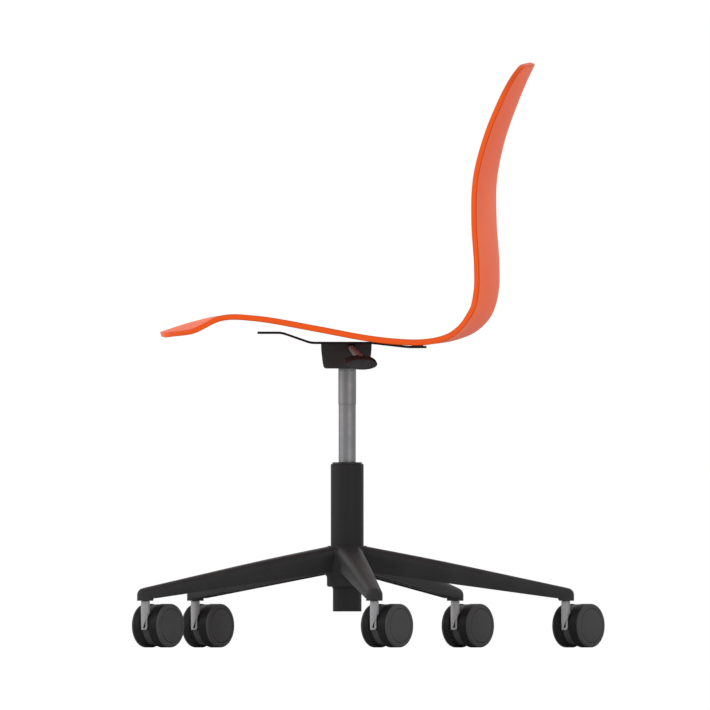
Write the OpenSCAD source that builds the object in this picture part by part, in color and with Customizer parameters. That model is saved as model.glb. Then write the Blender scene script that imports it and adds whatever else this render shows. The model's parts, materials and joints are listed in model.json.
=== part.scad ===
// Swivel chair: a moulded shell on a gas spring column, with a star base on twin-wheel casters.
// The origin is on the floor, on the column's axis. +Z is up and the sitter faces -Y.

/* [Casters] */
// Diameter of a caster wheel
wheel_d = 65.6; // [60:0.1:70]
// Width of one wheel
wheel_w = 19.7; // [16:0.1:20]
// Gap between the two wheels of a caster
wheel_gap = 12; // [11:0.5:14]
// Distance from the stem's axis back to the axle
caster_trail = 31; // [30:0.5:34]
// Direction in which the casters trail, counted from +X
caster_turn = 142.2; // [0:0.1:359]
// Diameter of a caster's stem below the socket
stem_d = 13.4; // [12:0.1:13.5]
// Diameter of the stem's pin inside the socket
pin_d = 11; // [9:0.5:11.5]
// Length of the pin inside the socket
pin_len = 15.5; // [12:0.5:16]
// Diameter of a wheel's axle
axle_d = 8; // [6:0.5:9]

/* [Star base] */
// Number of arms and casters
arm_count = 5; // [4:1:5]
// Direction of the first arm, counted from +X
arm_turn = 7; // [0:0.5:71]
// Diameter of the circle through the stems
stem_circle_d = 668; // [600:1:700]
// Height of the sockets above the wheels
headroom = 4.4; // [3:0.1:10]
// Diameter of the hub
hub_d = 61; // [58:0.5:66]
// Height of the hub
hub_h = 61.7; // [55:0.1:68]
// Height of the hub's lower edge above the sockets
hub_lift = 21; // [18:0.5:26]
// Width of an arm at the hub
arm_w = 41; // [34:0.5:44]
// Width of the keel under an arm at the hub
keel_w = 30; // [24:0.5:31]
// Depth of an arm at the hub
arm_depth = 38.5; // [34:0.5:42]
// Diameter of an arm's round tip
tip_d = 25; // [22:0.5:28]
// Height of the tip above the socket's mouth
tip_h = 19.3; // [18:0.1:24]

/* [Column] */
// Outer diameter of the stand tube
tube_d = 49.4; // [47:0.1:52]
// Diameter of the tube's foot below the hub
foot_d = 43; // [40:0.5:44]
// Length of the stand tube
tube_len = 221.5; // [210:0.5:240]
// Depth of the tube's foot below the hub
foot_drop = 37; // [34:0.5:42]
// Length of the bush inside the tube
bush_len = 110; // [90:1:125]

/* [Gas spring] */
// How far the seat comes down
stroke = 110; // [80:1:120]
// Diameter of the pressure tube
spring_d = 25.8; // [24:0.1:27]
// Diameter of the pressure tube's upper length
sleeve_d = 26.8; // [26:0.1:28]
// Length of the upper length that shows below the housing
sleeve_len = 52.8; // [40:0.1:60]
// Length of bright tube between the column and the housing, fully out
spring_reach = 140.4; // [136:0.1:160]
// Diameter of the piston rod
rod_d = 10; // [8:0.5:11]
// Diameter of the release pin
release_d = 6; // [5:0.5:7]

/* [Mechanism] */
// Length of the housing, front to back
housing_len = 76; // [70:0.5:84]
// Width of the housing
housing_w = 90; // [86:0.5:96]
// Height of the housing
housing_h = 36.7; // [34:0.1:42]
// Thickness of the housing's wall
housing_wall = 3; // [2:0.1:4]
// Distance of the lever's pivot in from the housing's side
pivot_in = 9; // [7:0.1:10]
// Diameter of the lever's rod where it leaves the housing
lever_d = 8.8; // [8:0.1:9.2]
// How far the lever's grip reaches out from the column's axis
lever_reach = 185; // [150:1:200]
// Length of the grip
knob_len = 50; // [40:1:60]
// Width of the grip
knob_w = 51; // [44:0.5:54]
// Height of the grip
knob_h = 21.5; // [18:0.5:24]

/* [Seat plate] */
// Thickness of the seat plate's sheet
plate_t = 3.6; // [3:0.1:4.5]
// Width of the seat plate over its ears
plate_w = 190; // [180:1:220]
// Width of the seat plate's waist
waist_w = 92; // [91:0.5:93]
// Height of the front ears above the plate's middle
ear_rise = 15.2; // [10:0.1:17]
// Drop of the plate's tail below its middle
tail_drop = 6.2; // [5.8:0.1:8]
// Diameter of the plate's fixing holes
hole_d = 6.6; // [6.4:0.1:7]

/* [Shell] */
// Width of the seat
seat_w = 444; // [420:1:480]
// Width of the back over its widest part
back_w = 428; // [400:1:450]
// Length of the seat ahead of its lowest point
seat_run = 391; // [380:1:410]
// Height of the front crest above the seat's lowest point
seat_crest = 36.7; // [30:0.1:44]
// How far the top of the back reaches behind the seat's lowest point
back_reach = 164; // [150:1:180]
// Height of the back's top above the seat's lowest point
back_rise = 417; // [380:0.5:450]
// How far the sides of the back stand ahead of its middle
back_dish = 32; // [20:0.5:40]
// Thickness of the shell
shell_t = 7; // [6:0.1:8]
// Depth of the rim along the seat's sides
rim_t = 9.4; // [8:0.1:12]
// Depth of the rim along the back's sides
back_rim_t = 8.6; // [8:0.1:11]
// Gap between the plate's middle and the seat's lowest point
shell_lift = 2.7; // [2.2:0.1:5]
// Diameter of the shell's screw bosses
boss_d = 18; // [15:0.5:20]

/* [Hidden] */
$fn = 64;

// Shared clearances, and the overrun of every cut
run_gap = 0.05;
seat_gap = 0.3;
over = 1;

// Heights that stack up from the floor
socket_z = wheel_d + headroom;
tip_top = socket_z + tip_h;
hub_z = socket_z + hub_lift;
hub_top = hub_z + hub_h;
foot_z = hub_z - foot_drop;
tube_top = foot_z + tube_len;
collar_h = 2.5;
bush_top = tube_top + collar_h;
housing_z = bush_top + spring_reach;
plate_z = housing_z + housing_h;
shell_low_z = plate_z + plate_t + shell_lift;

// Two-dimensional helpers: an arc's points, and an outline with its corners rounded

function arc(centre, r, from, sweep, steps) =
    [for (k = [0:steps]) centre + r * [cos(from + sweep * k / steps), sin(from + sweep * k / steps)]];

function unit(v) = v / norm(v);

function turn(angle) = angle > 180 ? angle - 360 : angle < -180 ? angle + 360 : angle;

function corner(before, at, after, r, steps) =
    let (u = unit(before - at), w = unit(after - at), half = acos(u * w) / 2)
    let (centre = at + unit(u + w) * r / sin(half), start = at + u * r / tan(half) - centre)
    let (end = at + w * r / tan(half) - centre, from = atan2(start.y, start.x))
    arc(centre, r, from, turn(atan2(end.y, end.x) - from), steps);

// Each point of the outline is [x, y, radius of its corner]
function rounded(points, steps = 5) =
    let (n = len(points), flat = [for (p = points) [p.x, p.y]])
    [for (i = [0:n - 1]) each corner(flat[(i + n - 1) % n], flat[i], flat[(i + 1) % n], points[i].z, steps)];

function mirrored(half) =
    concat(half, [for (i = [len(half) - 1:-1:0]) [-half[i].x, half[i].y, half[i].z]]);

// A round bar between two points
module bar(from, to, r_from, r_to) {
    along = to - from;
    translate(from)
        rotate([0, acos(along.z / norm(along)), atan2(along.y, along.x)])
            cylinder(h = norm(along), r1 = r_from, r2 = r_to);
}

// Star base: five hollow arms with rounded backs run from the hub down to a socket over each caster

stem_r = stem_circle_d / 2;
arm_corner_r = 12;
arm_crown = 2;
arm_slice = 1;
arm_root_in = 8;
arm_mid_share = 0.38;
tip_round = 10.5;
boss_step = 3.8;
socket_depth = pin_len + seat_gap;
hub_round = 3;
web_foot = 24;
web_shoulder = 12;
web_out = 1.2;
taper = 1.7;
arm_wall = 3.5;
arm_roof = 5;
rib_t = 2.5;
rib_count = 4;

arm_root_r = hub_d / 2 - arm_root_in;
arm_mid_r = arm_root_r + (stem_r - arm_root_r) * arm_mid_share;
arm_mid_top = hub_top + (tip_top - hub_top) * arm_mid_share + arm_crown;
arm_mid_w = arm_w + (tip_d - arm_w) * arm_mid_share;
pocket_in = hub_d / 2 + arm_root_in;
pocket_out = stem_r - tip_d / 2 - arm_wall * 2;
pocket_w_in = keel_w - arm_wall * 2;
pocket_w_out = tip_d - arm_wall * 2;

// Cross section of an arm, its top on the X axis
function arm_section(w, foot, depth, r) = concat(
    [[foot / 2, -depth]],
    arc([w / 2 - r, -r], r, 0, 90, 6),
    arc([r - w / 2, -r], r, 90, 90, 6),
    [[-foot / 2, -depth]]);

function ridge_z(r) = hub_top + (tip_top - hub_top) * (r - arm_root_r) / (stem_r - arm_root_r);

module arm_slab(r, top, w, foot, depth) {
    translate([r, 0, top])
        rotate([90, 0, 90])
            linear_extrude(arm_slice) polygon(arm_section(w, foot, depth, arm_corner_r));
}

module arm_solid() {
    hull() {
        arm_slab(arm_root_r, hub_top, arm_w, keel_w, arm_depth);
        arm_slab(arm_mid_r, arm_mid_top, arm_mid_w, keel_w, arm_crown + arm_corner_r * 2);
        translate([stem_r, 0, 0])
            rotate_extrude($fn = 32)
                polygon(concat(
                    [[0, socket_z + boss_step], [tip_d / 2, socket_z + boss_step]],
                    arc([tip_d / 2 - tip_round, tip_top - tip_round], tip_round, 0, 90, 4),
                    [[0, tip_top]]));
    }
    translate([stem_r, 0, socket_z])
        cylinder(h = boss_step + over, d = tip_d);
}

// The hollow under an arm, split by one long rib and four cross ribs
module arm_pocket() {
    difference() {
        intersection() {
            translate([0, 0, foot_z])
                linear_extrude(hub_top - foot_z)
                    polygon([
                        [pocket_in, -pocket_w_in / 2], [pocket_out, -pocket_w_out / 2],
                        [pocket_out, pocket_w_out / 2], [pocket_in, pocket_w_in / 2]]);
            translate([0, arm_w / 2, 0])
                rotate([90, 0, 0])
                    linear_extrude(arm_w)
                        polygon([
                            [pocket_in, foot_z], [pocket_out, foot_z],
                            [pocket_out, ridge_z(pocket_out) - arm_roof],
                            [pocket_in, ridge_z(pocket_in) - arm_roof]]);
        }
        translate([0, -rib_t / 2, foot_z])
            cube([stem_r, rib_t, hub_top]);
        for (k = [1:rib_count])
            translate([pocket_in + (pocket_out - pocket_in) * k / (rib_count + 1), -arm_w / 2, foot_z])
                cube([rib_t, arm_w, hub_top]);
    }
}

// The arms' sides cross outside the hub, so a ring fills the corners between them
module hub_web() {
    web_r = arm_w / 2 / sin(180 / arm_count) + web_out;
    rotate_extrude()
        polygon([
            [0, hub_top - web_foot - hub_round], [hub_d / 2 - web_out, hub_top - web_foot - hub_round],
            [web_r, hub_top - web_foot + web_out], [web_r, hub_top - web_shoulder],
            [hub_d / 2 - web_out, hub_top - hub_round], [0, hub_top - hub_round]]);
}

module star_base() {
    color("#2d2d2e")
        difference() {
            union() {
                hub_web();
                rotate_extrude()
                    polygon(concat(
                        [[0, hub_z]],
                        arc([hub_d / 2 - hub_round, hub_z + hub_round], hub_round, -90, 90, 4),
                        arc([hub_d / 2 - hub_round, hub_top - hub_round], hub_round, 0, 90, 4),
                        [[0, hub_top]]));
                for (i = [0:arm_count - 1])
                    rotate(arm_turn + i * 360 / arm_count)
                        arm_solid();
            }
            for (i = [0:arm_count - 1])
                rotate(arm_turn + i * 360 / arm_count) {
                    arm_pocket();
                    translate([stem_r, 0, socket_z - over])
                        cylinder(h = socket_depth + over, d = pin_d + run_gap * 2);
                }
            translate([0, 0, hub_z])
                cylinder(h = hub_h, r1 = tube_d / 2 - taper, r2 = tube_d / 2);
            translate([0, 0, hub_z - over])
                cylinder(h = over * 2, r = tube_d / 2 - taper);
            translate([0, 0, hub_top - over / 2])
                cylinder(h = over, d = tube_d);
        }
}

// Column: a stand tube that tapers in the hub, with a floor for the thrust bearing and a guide bush

tube_chamfer = 2;
tube_wall = 3.5;
foot_wall = 2.5;
floor_lift = 8;
floor_t = 4;
floor_clear = 0.3;
neck_step = 1;
neck_d = rod_d - neck_step * 2;
bush_wide_d = tube_d - tube_wall * 2;
bore_d = foot_d - foot_wall * 2;
ledge_z = tube_top - bush_len;
floor_z = foot_z + floor_lift;
collar_inset = 0.5;
collar_d = tube_d - (tube_chamfer + collar_inset) * 2;
collar_round = 1.5;

module column_tube() {
    color("#303031")
        rotate_extrude()
            polygon([
                [foot_d / 2, foot_z], [foot_d / 2, hub_z - foot_wall],
                [tube_d / 2 - taper, hub_z], [tube_d / 2, hub_top],
                [tube_d / 2, tube_top - tube_chamfer], [tube_d / 2 - tube_chamfer, tube_top],
                [bush_wide_d / 2, tube_top], [bush_wide_d / 2, ledge_z],
                [bore_d / 2, ledge_z], [bore_d / 2, floor_z + floor_t],
                [neck_d / 2 + floor_clear, floor_z + floor_t], [neck_d / 2 + floor_clear, floor_z],
                [bore_d / 2, floor_z], [bore_d / 2, foot_z]]);
}

// The upper length of the spring is thicker, so the bush is opened up where it comes down
bush_mouth = max(collar_h, stroke + sleeve_len - spring_reach + collar_h);
mouth_gap = 0.5;
mouth_d = sleeve_d + mouth_gap * 2;

module guide_bush() {
    color("#262627")
        rotate_extrude()
            polygon(concat(
                [[spring_d / 2 + run_gap, ledge_z], [bush_wide_d / 2 - run_gap, ledge_z],
                 [bush_wide_d / 2 - run_gap, tube_top], [collar_d / 2, tube_top]],
                arc([collar_d / 2 - collar_round, bush_top - collar_round], collar_round, 0, 90, 4),
                [[mouth_d / 2, bush_top], [mouth_d / 2, bush_top - bush_mouth],
                 [spring_d / 2 + run_gap, bush_top - bush_mouth - collar_h]]));
}

// Thrust bearing, buffer and clip round the piston rod

washer_d = 28;
washer_t = 2;
ball_d = 3.5;
ball_count = 12;
ball_circle_d = 20;
buffer_d = 26;
buffer_h = 13;
buffer_round = 2.5;
stop_gap = 3;
clip_d = 16;
clip_t = 2;
groove = 0.6;
rod_chamfer = 0.8;

lower_washer_z = floor_z + floor_t;
ball_z = lower_washer_z + washer_t + ball_d / 2;
upper_washer_z = ball_z + ball_d / 2;
buffer_z = upper_washer_z + washer_t;
spring_foot_z = buffer_z + buffer_h + stop_gap + stroke;

module ring(z, h, outer_d, inner_d) {
    translate([0, 0, z])
        difference() {
            cylinder(h = h, d = outer_d);
            translate([0, 0, -over])
                cylinder(h = h + over * 2, d = inner_d);
        }
}

module bearing_lower_washer() {
    color("silver") ring(lower_washer_z, washer_t, washer_d, neck_d + floor_clear * 2);
}

module bearing_balls() {
    color("gainsboro")
        for (i = [0:ball_count - 1])
            rotate(i * 360 / ball_count)
                translate([ball_circle_d / 2, 0, ball_z])
                    sphere(d = ball_d - run_gap, $fn = 24);
}

module bearing_upper_washer() {
    color("silver") ring(upper_washer_z, washer_t, washer_d, neck_d + run_gap * 2);
}

module rubber_buffer() {
    color("#1e1e1e")
        rotate_extrude()
            polygon(concat(
                [[rod_d / 2, buffer_z], [buffer_d / 2, buffer_z]],
                arc([buffer_d / 2 - buffer_round, buffer_z + buffer_h - buffer_round],
                    buffer_round, 0, 90, 4),
                [[rod_d / 2, buffer_z + buffer_h]]));
}

clip_z = floor_z - seat_gap - clip_t;

module retaining_clip() {
    color("dimgray")
        difference() {
            ring(clip_z, clip_t, clip_d, neck_d - groove * 2);
            translate([0, -neck_d / 4, clip_z - over])
                cube([clip_d, neck_d / 2, clip_t + over * 2]);
        }
}

// Gas spring: a pressure tube that slides over the piston, and ends in the taper that the socket grips

gland_h = 14;
spring_wall = 1.9;
piston_h = 10;
piston_gap = 2;
top_wall = 11;
grip_h = 22.2;
grip_taper = 0.6;
step_h = 1.5;

chamber_d = spring_d - spring_wall * 2;
spring_top = housing_z + grip_h;
piston_z = spring_foot_z + gland_h + piston_gap;
rod_foot_z = clip_z - clip_t;
rod_top = piston_z + piston_h + piston_gap;
step_z = housing_z - sleeve_len;

module piston_rod() {
    color("silver")
        rotate_extrude()
            polygon([
                [0, rod_foot_z], [neck_d / 2 - rod_chamfer, rod_foot_z],
                [neck_d / 2, rod_foot_z + rod_chamfer],
                [neck_d / 2, clip_z], [neck_d / 2 - groove, clip_z],
                [neck_d / 2 - groove, clip_z + clip_t], [neck_d / 2, clip_z + clip_t],
                [neck_d / 2, buffer_z], [rod_d / 2, buffer_z], [rod_d / 2, piston_z],
                [neck_d / 2, piston_z], [neck_d / 2, rod_top], [0, rod_top]]);
}

module piston() {
    color("#4a4a4a")
        difference() {
            ring(piston_z, piston_h, chamber_d - run_gap * 2, neck_d);
            ring(piston_z + piston_h / 3, piston_h / 3, chamber_d + over, chamber_d - groove * 2);
        }
}

module gas_cylinder() {
    color("#b4b4b4")
        rotate_extrude()
            polygon([
                [chamber_d / 2, spring_foot_z], [spring_d / 2 - groove, spring_foot_z],
                [spring_d / 2, spring_foot_z + groove], [spring_d / 2, step_z - step_h],
                [sleeve_d / 2, step_z], [sleeve_d / 2, housing_z],
                [sleeve_d / 2 - grip_taper, spring_top],
                [release_d / 2 + run_gap, spring_top], [release_d / 2 + run_gap, spring_top - top_wall],
                [chamber_d / 2, spring_top - top_wall]]);
}

module cylinder_gland() {
    color("#232323") ring(spring_foot_z, gland_h, chamber_d, rod_d + run_gap * 2);
}

// Mechanism: a pressed cup under the seat plate, with the taper socket and the lever's lugs inside

housing_y = -1.3;
housing_corner = 10;
brow_h = 12;
heel_h = 4.5;
side_lean = 2.9;
heel_lean = 2.6;
socket_wall = 5.5;
lever_y = 6.4;
lever_drop = 5.8;
lever_hub_d = 10;
lever_hub_len = 16;
arm_t = 5;
arm_end = 5;
pivot_d = 5;
lug_t = 3;
lug_back = 8;
notch_gap = 0.8;
rod_out = 3;

lever_z = plate_z - lever_drop;
pivot_x = housing_w / 2 - pivot_in;
housing_inner_x = housing_w / 2 - housing_wall;
socket_d = sleeve_d + socket_wall * 2;

module rounded_slab(len_y, len_x, z, h, r) {
    for (sx = [-1, 1], sy = [-1, 1])
        translate([sx * (len_x / 2 - r), housing_y + sy * (len_y / 2 - r), z])
            cylinder(h = h, r = r, $fn = 32);
}

// The cup's outer form, drawn in by a wall's thickness for its hollow
module cup(wall, top) {
    hull() {
        for (level = [
            [0, housing_h - brow_h, top],
            [side_lean, heel_h, heel_h + over],
            [side_lean + heel_lean, 0, over]])
            rounded_slab(
                housing_len - (level[0] + wall) * 2,
                housing_w - (level[0] + wall) * 2,
                housing_z + level[1] + wall,
                max(level[2] - level[1] - wall, over),
                housing_corner - wall);
    }
}

module taper_socket() {
    color("#5a5a5c")
        difference() {
            translate([0, 0, housing_z])
                cylinder(h = grip_h, d = socket_d);
            translate([0, 0, housing_z])
                cylinder(h = grip_h, r1 = sleeve_d / 2, r2 = sleeve_d / 2 - grip_taper);
        }
}

module lug(y) {
    foot = housing_z + housing_wall - over / 2;
    translate([pivot_x - lug_back, y, foot])
        cube([housing_inner_x - pivot_x + lug_back + over / 2, lug_t, lever_z + pivot_d - over / 2 - foot]);
}

module housing() {
    color("#2e2e2f")
        difference() {
            union() {
                difference() {
                    cup(0, housing_h);
                    cup(housing_wall, housing_h + over * 2);
                }
                for (side = [-1, 1])
                    lug(lever_y + side * (lever_hub_len / 2 + seat_gap + lug_t / 2) - lug_t / 2);
            }
            translate([0, 0, housing_z - over])
                cylinder(h = grip_h, d = socket_d);
            translate([pivot_x, lever_y + housing_len / 4, lever_z])
                rotate([90, 0, 0])
                    cylinder(h = housing_len / 2, d = pivot_d);
            translate([housing_inner_x - over, lever_y, lever_z] - [0, 1, 1] * (lever_d / 2 + notch_gap))
                cube([housing_wall + over * 2, lever_d + notch_gap * 2, lever_d + lever_drop]);
        }
}

module lever_pivot_pin() {
    length = lever_hub_len + (seat_gap + lug_t) * 2;
    color("silver")
        translate([pivot_x, lever_y + length / 2, lever_z])
            rotate([90, 0, 0])
                cylinder(h = length, d = pivot_d - run_gap);
}

// The lever's rod leaves the housing level, bends down and back, and widens to the grip

knob_y = 18.6;
knob_fall = 21.7;
grip_shift = [3.4, -2.8];
rod_end_d = 12;
rod_end = [2.4, 4.2];
rod_sink = 12;

bend = [housing_w / 2 + rod_out, lever_y, lever_z];
knob_x = lever_reach - knob_len;
rod_tip = [knob_x + rod_sink, knob_y + rod_end.x, lever_z - knob_fall + rod_end.y];

module lever_rod() {
    bar([pivot_x, lever_y, lever_z], bend, lever_d / 2, lever_d / 2);
    translate(bend)
        sphere(d = lever_d, $fn = 32);
    bar(bend, rod_tip, lever_d / 2, rod_end_d / 2);
}

module lever_arm() {
    hub_edge = lever_hub_len / 2 - seat_gap;
    neck_x = pivot_x - lug_back - lug_t;
    color("#68686a")
        difference() {
            union() {
                translate([pivot_x, lever_y + lever_hub_len / 2, lever_z])
                    rotate([90, 0, 0])
                        cylinder(h = lever_hub_len, d = lever_hub_d);
                translate([0, 0, lever_z - arm_t / 2])
                    linear_extrude(arm_t)
                        polygon([
                            [pivot_x, lever_y - hub_edge], [neck_x, lever_y - hub_edge],
                            [arm_end, -arm_end], [-arm_end, -arm_end], [-arm_end, arm_end],
                            [arm_end, arm_end], [neck_x, lever_y + hub_edge],
                            [pivot_x, lever_y + hub_edge]]);
                lever_rod();
            }
            translate([pivot_x, lever_y + lever_hub_len, lever_z])
                rotate([90, 0, 0])
                    cylinder(h = lever_hub_len * 2, d = pivot_d + run_gap);
        }
}

// The grip is an oval bar, sheared so that it runs down and back as the rod does
knob_shares = [[0, 0.86], [0.1, 0.95], [0.3, 1], [0.8, 0.98], [0.95, 0.9], [1, 0.81]];
knob_slice = 0.5;

function oval(w, h) = [for (a = [0:10:350]) [w * cos(a), h * sin(a)] / 2];

module lever_knob() {
    color("#363637")
        difference() {
            hull()
                for (s = knob_shares)
                    translate([
                        knob_x + (knob_len - knob_slice) * s[0],
                        knob_y + grip_shift.x * s[0],
                        lever_z - knob_fall + grip_shift.y * s[0]])
                        rotate([90, 0, 90])
                            linear_extrude(knob_slice)
                                polygon(oval(knob_w * s[1], knob_h * s[1]));
            bar(bend, rod_tip, lever_d / 2, rod_end_d / 2);
        }
}

release_top = lever_z - arm_t / 2 - seat_gap;

module release_pin() {
    foot = spring_top - top_wall - piston_gap;
    color("#d0d0d0")
        rotate_extrude($fn = 32)
            polygon([
                [0, foot], [release_d / 2, foot], [release_d / 2, release_top - rod_chamfer],
                [release_d / 2 - rod_chamfer, release_top], [0, release_top]]);
}

// Seat plate: one bent sheet. Its front ears are raised, its middle lies on the housing and its tail drops

ear_front = 134.6;
ear_back = 98;
middle_front = 54.5;
middle_back = 37.2;
tail_start = 91.2;
tail_end = 119;
ear_corner = 12;
waist_corner = 22;
ear_notch_w = 70;
notch_corner = 14;
notch_lip = 4;
ear_hole_x = 75;
ear_hole_y = (ear_front + ear_back) / 2;
tail_hole_y = (tail_start + tail_end) / 2;
inner_hole_x = 35;
inner_hole_y = 52;

// The sheet's underside from front to back
plate_line = [
    [-ear_front, ear_rise], [-ear_back, ear_rise], [-middle_front, 0],
    [middle_back, 0], [tail_start, -tail_drop], [tail_end, -tail_drop]];
tail_slope = atan(tail_drop / (tail_start - middle_back));

function plate_top(y) = plate_z + plate_t + lookup(y, plate_line);

module seat_plate() {
    top = [for (i = [len(plate_line) - 1:-1:0]) plate_line[i] + [0, plate_t]];
    half = [
        [plate_w / 2, -ear_front, ear_corner], [plate_w / 2, -ear_back, ear_corner],
        [waist_w / 2, -middle_front, waist_corner], [waist_w / 2, middle_back, waist_corner],
        [plate_w / 2, tail_start, ear_corner], [plate_w / 2, tail_end, ear_corner]];
    notch = [
        [-ear_notch_w / 2, -ear_front, notch_lip], [-ear_notch_w / 2, -ear_back, notch_corner],
        [ear_notch_w / 2, -ear_back, notch_corner], [ear_notch_w / 2, -ear_front, notch_lip]];
    color("#1f1f20")
        difference() {
            intersection() {
                translate([-plate_w / 2 - over, 0, plate_z])
                    rotate([90, 0, 90])
                        linear_extrude(plate_w + over * 2)
                            polygon(concat(plate_line, top));
                translate([0, 0, plate_z - tail_drop - over])
                    linear_extrude(ear_rise + tail_drop + plate_t + over * 2)
                        polygon(rounded(concat(mirrored(half), notch)));
            }
            for (side = [-1, 1])
                translate([side * ear_hole_x, -ear_hole_y, plate_z + ear_rise - over])
                    cylinder(h = plate_t + over * 2, d = hole_d);
            fixings() {
                translate([0, 0, -plate_t - over])
                    cylinder(h = plate_t + over * 2, d = hole_d);
                screw_head(run_gap);
            }
        }
}

// The shell's screws are countersunk flush with the plate's underside
screw_d = 6;
screw_head_d = 11.4;
screw_head_h = 2.7;

module screw_head(grow) {
    translate([0, 0, -plate_t])
        cylinder(h = screw_head_h, d1 = screw_head_d + grow * 2, d2 = screw_d + grow * 2);
}

// The shell's fixings stand square on the plate: one pair on the tail, one pair on the slope ahead of it

module tail_fixing(side) {
    translate([side * ear_hole_x, tail_hole_y, plate_top(tail_hole_y)])
        children();
}

module inner_fixing(side) {
    translate([side * inner_hole_x, inner_hole_y, plate_top(inner_hole_y)])
        rotate([-tail_slope, 0, 0])
            children();
}

module fixings() {
    for (side = [-1, 1]) {
        tail_fixing(side) children();
        inner_fixing(side) children();
    }
}

// Shell: a sheet swept along the sitter's outline. Each station holds a place along the seat or the
// back, its height, its width and how far its sides stand up, all as shares of the shell's own sizes

seat_shares = [
    [-1, 0.324, 0.93, -0.14], [-0.885, 0.717, 0.955, -0.33], [-0.765, 1, 0.975, 0],
    [-0.634, 0.995, 0.99, 0], [-0.386, 0.553, 1, 0], [-0.233, 0.243, 0.995, 0],
    [-0.12, 0.079, 0.985, 0], [0, 0, 0.965, 0.03]];
back_shares = [
    [0.18, 0.0048, 0.975, 0.11], [0.305, 0.0144, 0.965, 0.26], [0.479, 0.042, 0.955, 0.68],
    [0.61, 0.094, 0.955, 0.885], [0.673, 0.176, 0.965, 0.975], [0.68, 0.272, 0.98, 1],
    [0.654, 0.431, 1, 0.99], [0.657, 0.575, 0.995, 0.93], [0.732, 0.723, 0.975, 0.81],
    [0.862, 0.868, 0.945, 0.7], [1, 1, 0.92, 0.66]];
shell_low_y = 110;
front_corner = 60;
top_corner = 60;
front_arch = 8;
top_arch = 15;
steps_per_station = 2;
half_columns = 9;
rim_power = 6;
insert_depth = 6.5;
boss_sink = 4;

stations = concat(
    [for (s = seat_shares)
        [shell_low_y + s[0] * seat_run, shell_low_z + s[1] * seat_crest,
         s[2] * seat_w / 2, s[3] * back_dish]],
    [for (s = back_shares)
        [shell_low_y + s[0] * back_reach, shell_low_z + s[1] * back_rise,
         s[2] * back_w / 2, s[3] * back_dish]]);

function knot(i) = i < 0 ? stations[0] * 2 - stations[1]
    : i >= len(stations) ? stations[len(stations) - 1] * 2 - stations[len(stations) - 2]
    : stations[i];

function chord(a, b) = sqrt(norm([b[0] - a[0], b[1] - a[1]]));

// A smooth curve through the stations, with its speed set by their spacing
function curve(i, share) =
    let (a = knot(i - 1), b = knot(i), c = knot(i + 1), d = knot(i + 2))
    let (t1 = chord(a, b), t2 = t1 + chord(b, c), t3 = t2 + chord(c, d), t = t1 + (t2 - t1) * share)
    let (ab = a + (b - a) * t / t1, bc = b + (c - b) * (t - t1) / (t2 - t1))
    let (cd = c + (d - c) * (t - t2) / (t3 - t2))
    let (abc = ab + (bc - ab) * t / t2, bcd = bc + (cd - bc) * (t - t1) / (t3 - t1))
    abc + (bcd - abc) * (t - t1) / (t2 - t1);

fine_steps = 6;
last_station = len(stations) - 1;
spine = [
    for (i = [0:last_station - 1], k = [0:fine_steps - 1]) curve(i, k / fine_steps),
    stations[last_station]];
spine_last = len(spine) - 1;

function run(points, i = 1, so_far = [0]) = i == len(points) ? so_far
    : run(points, i + 1, concat(so_far, [so_far[i - 1]
        + norm([points[i][0] - points[i - 1][0], points[i][1] - points[i - 1][1]])]));

spine_run = run(spine);
shell_run = spine_run[spine_last];
spine_y = [for (i = [0:spine_last]) [spine_run[i], spine[i][0]]];
spine_z = [for (i = [0:spine_last]) [spine_run[i], spine[i][1]]];
spine_w = [for (i = [0:spine_last]) [spine_run[i], spine[i][2]]];
spine_dish = [for (i = [0:spine_last]) [spine_run[i], spine[i][3]]];
probe = shell_run / spine_last / 2;

function heading(s) = unit([
    lookup(s + probe, spine_y) - lookup(s - probe, spine_y),
    lookup(s + probe, spine_z) - lookup(s - probe, spine_z)]);

// How far the shell's end is drawn in at a share of its width, by its arch and its round corner
function end_inset(share, half_w, arch, r) =
    let (into = abs(share) * half_w - (half_w - r))
    arch * share * share + (into > 0 ? r - sqrt(max(r * r - into * into, 0)) : 0);

// A point of the sitting surface, or of the underside at the given thickness
function shell_point(share, s, thick) =
    let (h = heading(s), up = [-h.y, h.x], half_w = lookup(s, spine_w), dish = lookup(s, spine_dish))
    let (rise = dish * share * share, lean = 2 * dish * share / half_w)
    let (out = unit([-lean, up.x, up.y]))
    [share * half_w, lookup(s, spine_y) + up.x * rise, lookup(s, spine_z) + up.y * rise] - out * thick;

column_shares = [for (j = [-half_columns:half_columns]) sin(90 * j / half_columns)];
row_shares = [for (i = [0:last_station * steps_per_station])
    spine_run[i * fine_steps / steps_per_station] / shell_run];
rows = len(row_shares);
columns = len(column_shares);

// The rim grows from the front lip and is slimmer up the back
rim_shares = [[0, 0.85], [0.2, 1], [0.5, 1]];
rim_slim_share = 0.65;

function rim_at(share) = share < rim_shares[2][0] ? lookup(share, rim_shares) * rim_t
    : lookup(share, [[rim_shares[2][0], rim_t], [rim_slim_share, back_rim_t]]);

function thickness(share, row) = shell_t + (rim_at(row) - shell_t) * pow(abs(share), rim_power);

function shell_grid(under) = [
    for (row = row_shares, share = column_shares)
        let (low = end_inset(share, stations[0][2], front_arch, front_corner))
        let (high = shell_run - end_inset(share, stations[last_station][2], top_arch, top_corner))
        shell_point(share, low + (high - low) * row, under * thickness(share, row))];

function cell(i, j, base) = let (a = base + i * columns + j) [a, a + 1, a + columns + 1, a + columns];

// The four edges in turn, as grid places
shell_edge = concat(
    [for (j = [0:columns - 2]) j],
    [for (i = [0:rows - 2]) i * columns + columns - 1],
    [for (j = [columns - 1:-1:1]) (rows - 1) * columns + j],
    [for (i = [rows - 1:-1:1]) i * columns]);

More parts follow.
